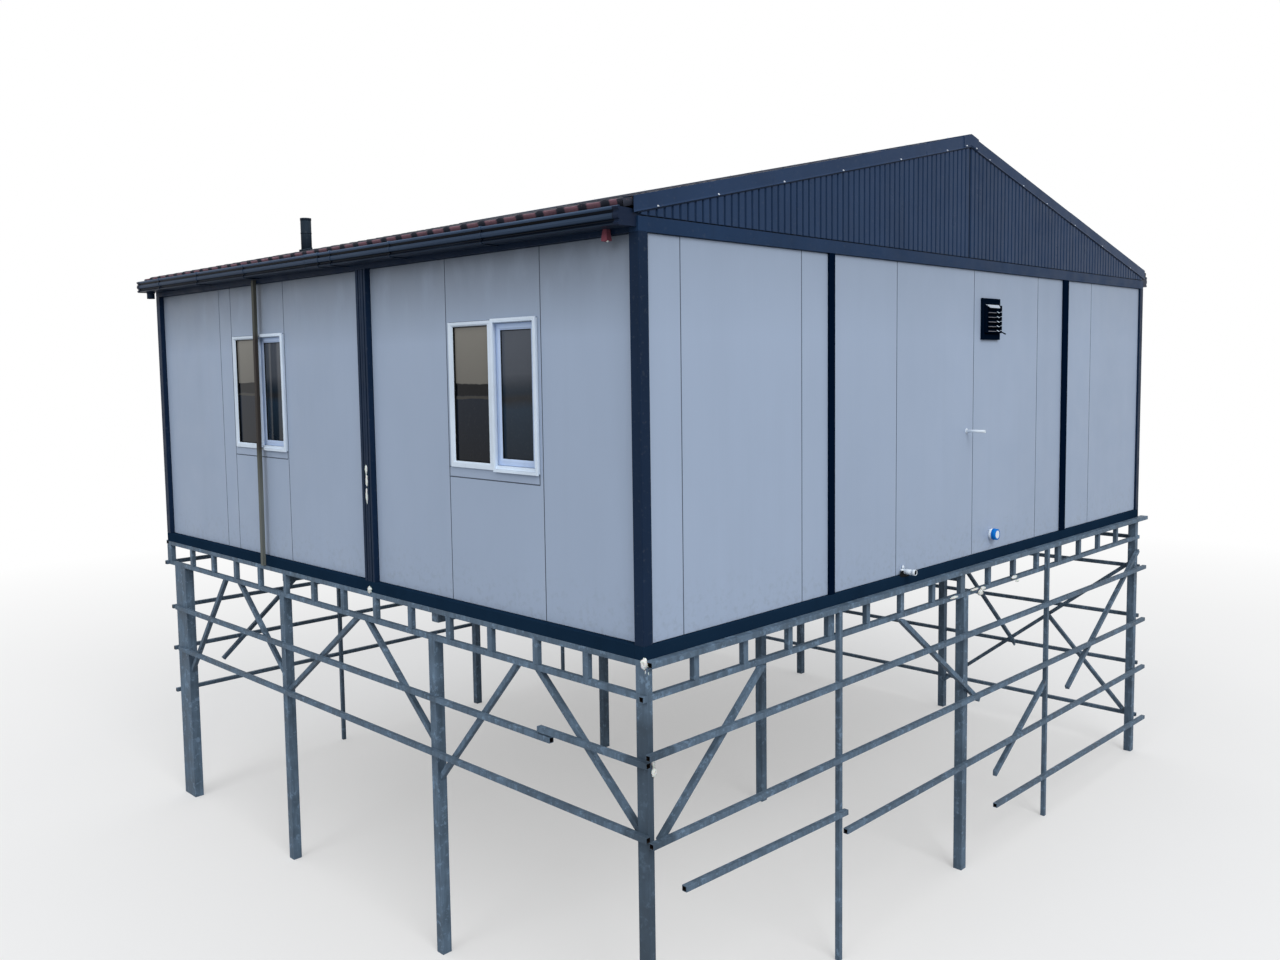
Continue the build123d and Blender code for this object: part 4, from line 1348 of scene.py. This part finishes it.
class HOUSE_OT_pipes(bpy.types.Operator):
    """Make the capped pipe end, the small rod and the drain spout of the front wall"""

    bl_idname = "house.pipes"
    bl_label = "Pipe ends"

    def execute(self, context):
        low, high = span("pipe_stub")
        x, z = (low.x + high.x) / 2, (low.z + high.z) / 2
        radius = (high.x - low.x) / 2
        rod_x, rod_z = 4.030, 1.184
        white, blue = bmesh.new(), bmesh.new()
        add_pipes(
            white, x, z, 40, (wall_face, -0.010, radius - 0.004, radius - 0.010),
            (-0.040, -0.050, radius - 0.017, 0.0),
        )
        add_pipes(
            blue, x, z, 40, (-0.010, -0.049, radius - 0.002, radius - 0.018),
            (-0.012, -0.018, radius, radius - 0.004),
        )
        add_pipes(
            white, rod_x, rod_z, 20, (wall_face, -0.155, 0.0125, 0.010),
            (wall_face, 0.014, 0.021, 0.011),
        )
        add_shape("pipe_stub_collar", white, "pipe_plastic", ("pipe_white",), "pipe_stub")
        add_shape("pipe_stub_cap", blue, "pipe_plastic", ("blue_plastic",))
        self.spout()
        return {"FINISHED"}

    def spout(self):
        """Drain pipe with a belled end that rests on the base rail, with a dark plate behind it
        that is a painted shadow and a dark disc in its mouth that is painted shade.
        """
        low, high = span("drain_spout")
        x, z = (low.x + high.x) / 2, (low.z + high.z) / 2
        radius = (high.x - low.x) / 2
        bell_start, bead_start = low.y + 0.028, low.y + 0.036
        pipe, shadow_plate, scrap = [bmesh.new() for _ in range(3)]
        add_pipes(
            pipe, x, z, 32, (wall_face, low.y, radius - 0.002, radius - 0.0045),
            (bell_start, low.y, radius, radius - 0.004),
            (bead_start, bell_start, radius - 0.001, radius - 0.004),
        )
        # Painted shadow of the pipe on the base rail, and painted shade inside its open end
        outline = [
            (-0.060, 0.090), (-0.030, 0.122), (0.090, 0.118), (0.130, 0.086), (0.080, 0.066),
            (-0.030, 0.070),
        ]
        add_prism(shadow_plate, outline, lambda along, up, y: at(x - 0.020 + along, y, up), 0.001, -0.0015)
        add_pipes(shadow_plate, x, z, 24, (low.y + 0.006, low.y + 0.004, radius - 0.0045, 0.0))
        add_blob(scrap, at(x - 0.008, 0.012, z + 0.034), (0.012, 0.010, 0.014), 21)
        add_blob(scrap, at(x - 0.024, 0.010, z + 0.012), (0.016, 0.012, 0.010), 22)
        add_shape("drain_spout_pipe", pipe, "pipe_plastic", ("pipe_white",), "drain_spout")
        add_shape("spout_cut", shadow_plate, "black_plastic", ("rubber",))
        add_shape("spout_sealant", scrap, "white_frame", ("pipe_white",))


class HOUSE_OT_wall_strip(bpy.types.Operator):
    """Make the leaning strip up the left eave wall and the red plug under the near gutter"""

    bl_idname = "house.wall_strip"
    bl_label = "Wall strip"

    def execute(self, context):
        strip, plug, tip = [bmesh.new() for _ in range(3)]
        foot_y, top_y, steps = 4.876, 4.846, 12
        width, depth = 0.058, 0.030
        thin = depth * 0.7
        section = (
            (0.0, -0.5), (-depth, -0.5), (-depth, 0.10), (-thin, 0.16), (-thin, 0.5), (0.0, 0.5),
        )
        rings = []
        for share in [step / steps for step in range(steps + 1)]:
            y = foot_y + (top_y - foot_y) * share + 0.0012 * math.sin(share * 19)
            z = 0.002 + (gutter_foot - 0.004) * share
            points = [at(x, y + width * offset, z) for x, offset in section]
            rings.append([strip.verts.new(point) for point in points])
        loft(strip, rings)
        soften(strip, 0.0015, 1, 0.6)
        add_shape("wall_strip_timber", strip, "timber", ("strip_timber",), "wall_strip")
        top = [(-0.036, 0.236), (-0.004, 0.236), (-0.004, 0.262), (-0.036, 0.262)]
        foot = [(-0.042, 0.222), (-0.002, 0.222), (-0.002, 0.273), (-0.042, 0.273)]
        rings = []
        for outline, z in ((top, 2.604), (foot, 2.536), (foot, 2.526)):
            rings.append([plug.verts.new(at(x, y, z)) for x, y in outline])
        loft(plug, rings)
        soften(plug, 0.005)
        add_shape("eave_plug", plug, "roof_paint", ("plug_red",))
        add_blob(tip, at(-0.034, 0.224, 2.522), (0.006, 0.008, 0.005), 3)
        add_shape("eave_plug_sealant", tip, "white_frame", ("foam",))
        return {"FINISHED"}


class HOUSE_OT_flue(bpy.types.Operator):
    """Make the flue with its open top, seam and flashing"""

    bl_idname = "house.flue"
    bl_label = "Flue"

    def execute(self, context):
        low, high = span("flue_pipe")
        x, y = (low.x + high.x) / 2, (low.y + high.y) / 2
        radius = (high.x - low.x) / 2
        shape = bmesh.new()
        for start, end, proud, inset in (
            (low.z - 0.01, high.z, 0.0, 0.003), (high.z - 0.022, high.z, 0.0025, 0.001),
            (low.z + 0.2, low.z + 0.212, 0.002, 0.001),
        ):
            add_tube(shape, at(x, y, start), at(x, y, end), radius + proud, radius - inset, 48)
        foot = at(x, y, ridge_sheet_top - slope * (ridge_x - x) - 0.01)
        up = Vector((-math.sin(pitch), 0, math.cos(pitch)))
        for start, end, proud in ((0.0, 0.030, 0.050), (0.030, 0.052, 0.014)):
            base, head = foot + up * start, foot + up * end
            add_tube(shape, base, head, radius + proud, radius - 0.002, 48)
        add_shape("flue_with_flashing", shape, "flue_metal", ("sooty_flue",), "flue_pipe")
        return {"FINISHED"}


def add_blob(shape, centre, size, seed):
    """A lump of foam."""
    made = bmesh.ops.create_icosphere(shape, subdivisions=3, radius=1.0)["verts"]
    for vert in made:
        swell = 1 + 0.38 * noise.noise(vert.co * 1.7 + Vector((seed * 3.1, seed * 1.7, 0)))
        swell += 0.12 * noise.noise(vert.co * 5.3 + Vector((0, seed * 2.3, 5)))
        spot = vert.co * swell
        vert.co = centre + Vector((spot.x * size[0], spot.y * size[1], spot.z * size[2]))
    for vert in made:
        for face in vert.link_faces:
            face.smooth = True


class HOUSE_OT_foam(bpy.types.Operator):
    """Set the lumps of foam at the corner, in the post groove and on the chord"""

    bl_idname = "house.foam"
    bl_label = "Foam"

    def execute(self, context):
        shape = bmesh.new()
        lumps = (
            ((-0.004, -0.004, -0.012), (0.020, 0.020, 0.036)),
            ((0.016, -0.006, -0.060), (0.016, 0.014, 0.040)),
            ((0.044, -0.024, -0.630), (0.014, 0.010, 0.040)),
            ((0.048, -0.024, -0.695), (0.020, 0.012, 0.030)),
            ((-0.004, 3.062, 0.985), (0.008, 0.012, 0.036)),
            ((-0.004, 3.060, 0.900), (0.008, 0.012, 0.050)),
            ((-0.004, 3.066, 0.780), (0.007, 0.010, 0.060)),
            ((-0.006, 3.066, 0.020), (0.014, 0.026, 0.030)),
            ((3.755, -0.030, -0.220), (0.062, 0.014, 0.010)),
            ((4.110, -0.030, -0.208), (0.068, 0.014, 0.009)),
            ((4.215, -0.034, -0.252), (0.040, 0.014, 0.028)),
            ((4.270, -0.030, -0.222), (0.034, 0.014, 0.018)),
            ((4.880, -0.030, -0.214), (0.048, 0.014, 0.016)),
            ((4.945, -0.030, -0.258), (0.034, 0.012, 0.009)),
        )
        for number, (place, size) in enumerate(lumps, 1):
            add_blob(shape, at(*place), size, number)
        add_shape("foam_lumps", shape, "white_frame", ("foam",))
        return {"FINISHED"}


def seen_straight(tree):
    """1 for what the camera sees directly, mirrored or through glass, and 0 for light."""
    path = put(tree, "ShaderNodeLightPath").outputs
    seen = calc(tree, "MAXIMUM", path["Is Camera Ray"], path["Is Glossy Ray"])
    return calc(tree, "MAXIMUM", seen, path["Is Transmission Ray"])


class HOUSE_OT_stage(bpy.types.Operator):
    """Set the floor, the lights and the camera of the photograph"""

    bl_idname = "house.stage"
    bl_label = "Stage"

    def execute(self, context):
        self.floor()
        self.world(context.scene)
        self.lamps()
        self.camera(context.scene)
        context.scene.view_settings.view_transform = "Standard"
        return {"FINISHED"}

    def floor(self):
        """Pale plane under the posts, darker for the light that it throws back."""
        reach, fade_start, fade_end = 400.0, 7.0, 20.0
        mesh = bpy.data.meshes.new("studio_floor")
        spots = [(-reach, -reach, 0), (reach, -reach, 0), (reach, reach, 0), (-reach, reach, 0)]
        mesh.from_pydata(spots, [], [(0, 1, 2, 3)])
        floor = bpy.data.objects.new("studio_floor", mesh)
        bpy.context.scene.collection.objects.link(floor)
        made = Finish("floor_paint", 0.0)
        made.shader.inputs["Roughness"].default_value = 0.9
        tone = made.mix(made.mottle(0.15), tint(228, 229, 230), tint(236, 237, 238))
        seen = seen_straight(made.tree)
        tone = made.mix(seen, tint(150, 152, 154), tone)
        feed(made.tree, made.shader, {"Base Color": tone})
        away = put(made.tree, "ShaderNodeVectorMath", {0: made.place}, operation="LENGTH")
        fade = made.ramp(away.outputs["Value"], fade_start, fade_end, 0.35, 1.0)
        glow = put(made.tree, "ShaderNodeEmission", {"Color": (1, 1, 1, 1), "Strength": 1.0})
        values = {0: made.times(seen, fade), 1: made.shader.outputs[0], 2: glow.outputs[0]}
        blend = put(made.tree, "ShaderNodeMixShader", values).outputs[0]
        feed(made.tree, made.tree.nodes["Material Output"], {"Surface": blend})
        mesh.materials.append(made.material)

    def world(self, scene):
        """White to the camera and in reflections, a soft bright sky for the light."""
        world = bpy.data.worlds.new("studio_sky")
        scene.world = world
        world.use_nodes = True
        tree = world.node_tree
        level = put(tree, "ShaderNodeMapRange", {"Value": seen_straight(tree), 3: 0.75, 4: 1.0})
        values = {"Color": (1, 1, 1, 1), "Strength": level.outputs[0]}
        feed(tree, tree.nodes["Background"], values)

    def lamps(self):
        """One wide lamp above the near corner and one weaker from the left."""
        for name, place, power, size in (
            ("key_lamp", (-12.0, -30.0, 26.0), 6300.0, 20.0),
            ("side_lamp", (-34.0, -4.0, 22.0), 2400.0, 16.0),
        ):
            data = bpy.data.lights.new(name, "AREA")
            data.energy = power
            data.size = size
            lamp = bpy.data.objects.new(name, data)
            lamp.location = place
            aim = Vector((0, 0, 3.5)) - lamp.location
            lamp.rotation_euler = aim.to_track_quat("-Z", "Y").to_euler()
            bpy.context.scene.collection.objects.link(lamp)

    def camera(self, scene):
        """The view of the photograph."""
        turn, lift, lean = [math.radians(value) for value in (yaw, tilt, roll)]
        across = math.cos(lift)
        forward = Vector((math.sin(turn) * across, math.cos(turn) * across, math.sin(lift)))
        level = Vector((math.cos(turn), -math.sin(turn), 0))
        above = level.cross(forward)
        right = level * math.cos(lean) + above * math.sin(lean)
        up = above * math.cos(lean) - level * math.sin(lean)
        data = bpy.data.cameras.new("photo_camera")
        data.lens = lens
        data.sensor_width = sensor
        data.shift_y = shift_up
        camera = bpy.data.objects.new("photo_camera", data)
        axes = Matrix((right, up, -forward)).transposed().to_4x4()
        camera.matrix_world = Matrix.Translation(at(*eye)) @ axes
        scene.collection.objects.link(camera)
        scene.camera = camera


class HOUSE_PT_panel(bpy.types.Panel):
    """Lists the pieces of the house"""

    bl_label = "Prefabricated House"
    bl_idname = "HOUSE_PT_panel"
    bl_space_type = "VIEW_3D"
    bl_region_type = "UI"
    bl_category = "House"

    def draw(self, context):
        for group in (context.scene.house_sizes, context.scene.house_colours):
            box = self.layout.box()
            for name in group.bl_rna.properties.keys():
                if name not in ("rna_type", "name"):
                    box.prop(group, name)
        for operator in operators:
            self.layout.operator(operator.bl_idname)


operators = (
    HOUSE_OT_stage, HOUSE_OT_finishes, HOUSE_OT_steelwork, HOUSE_OT_framework, HOUSE_OT_walls,
    HOUSE_OT_roof_sheets, HOUSE_OT_cladding_ribs, HOUSE_OT_rake_trims, HOUSE_OT_ridge_cap,
    HOUSE_OT_screws, HOUSE_OT_gutters, HOUSE_OT_windows, HOUSE_OT_door, HOUSE_OT_vent,
    HOUSE_OT_pipes, HOUSE_OT_wall_strip, HOUSE_OT_flue, HOUSE_OT_foam,
)
classes = (HouseSizes, HouseColours, *operators, HOUSE_PT_panel)


def register():
    for item in classes:
        bpy.utils.register_class(item)
    bpy.types.Scene.house_sizes = PointerProperty(type=HouseSizes)
    bpy.types.Scene.house_colours = PointerProperty(type=HouseColours)


def unregister():
    del bpy.types.Scene.house_sizes
    del bpy.types.Scene.house_colours
    for item in reversed(classes):
        bpy.utils.unregister_class(item)


def main():
    """Make the whole house."""
    register()
    for operator in operators:
        group, name = operator.bl_idname.split(".")
        getattr(getattr(bpy.ops, group), name)()


if __name__ == "__main__":
    main()
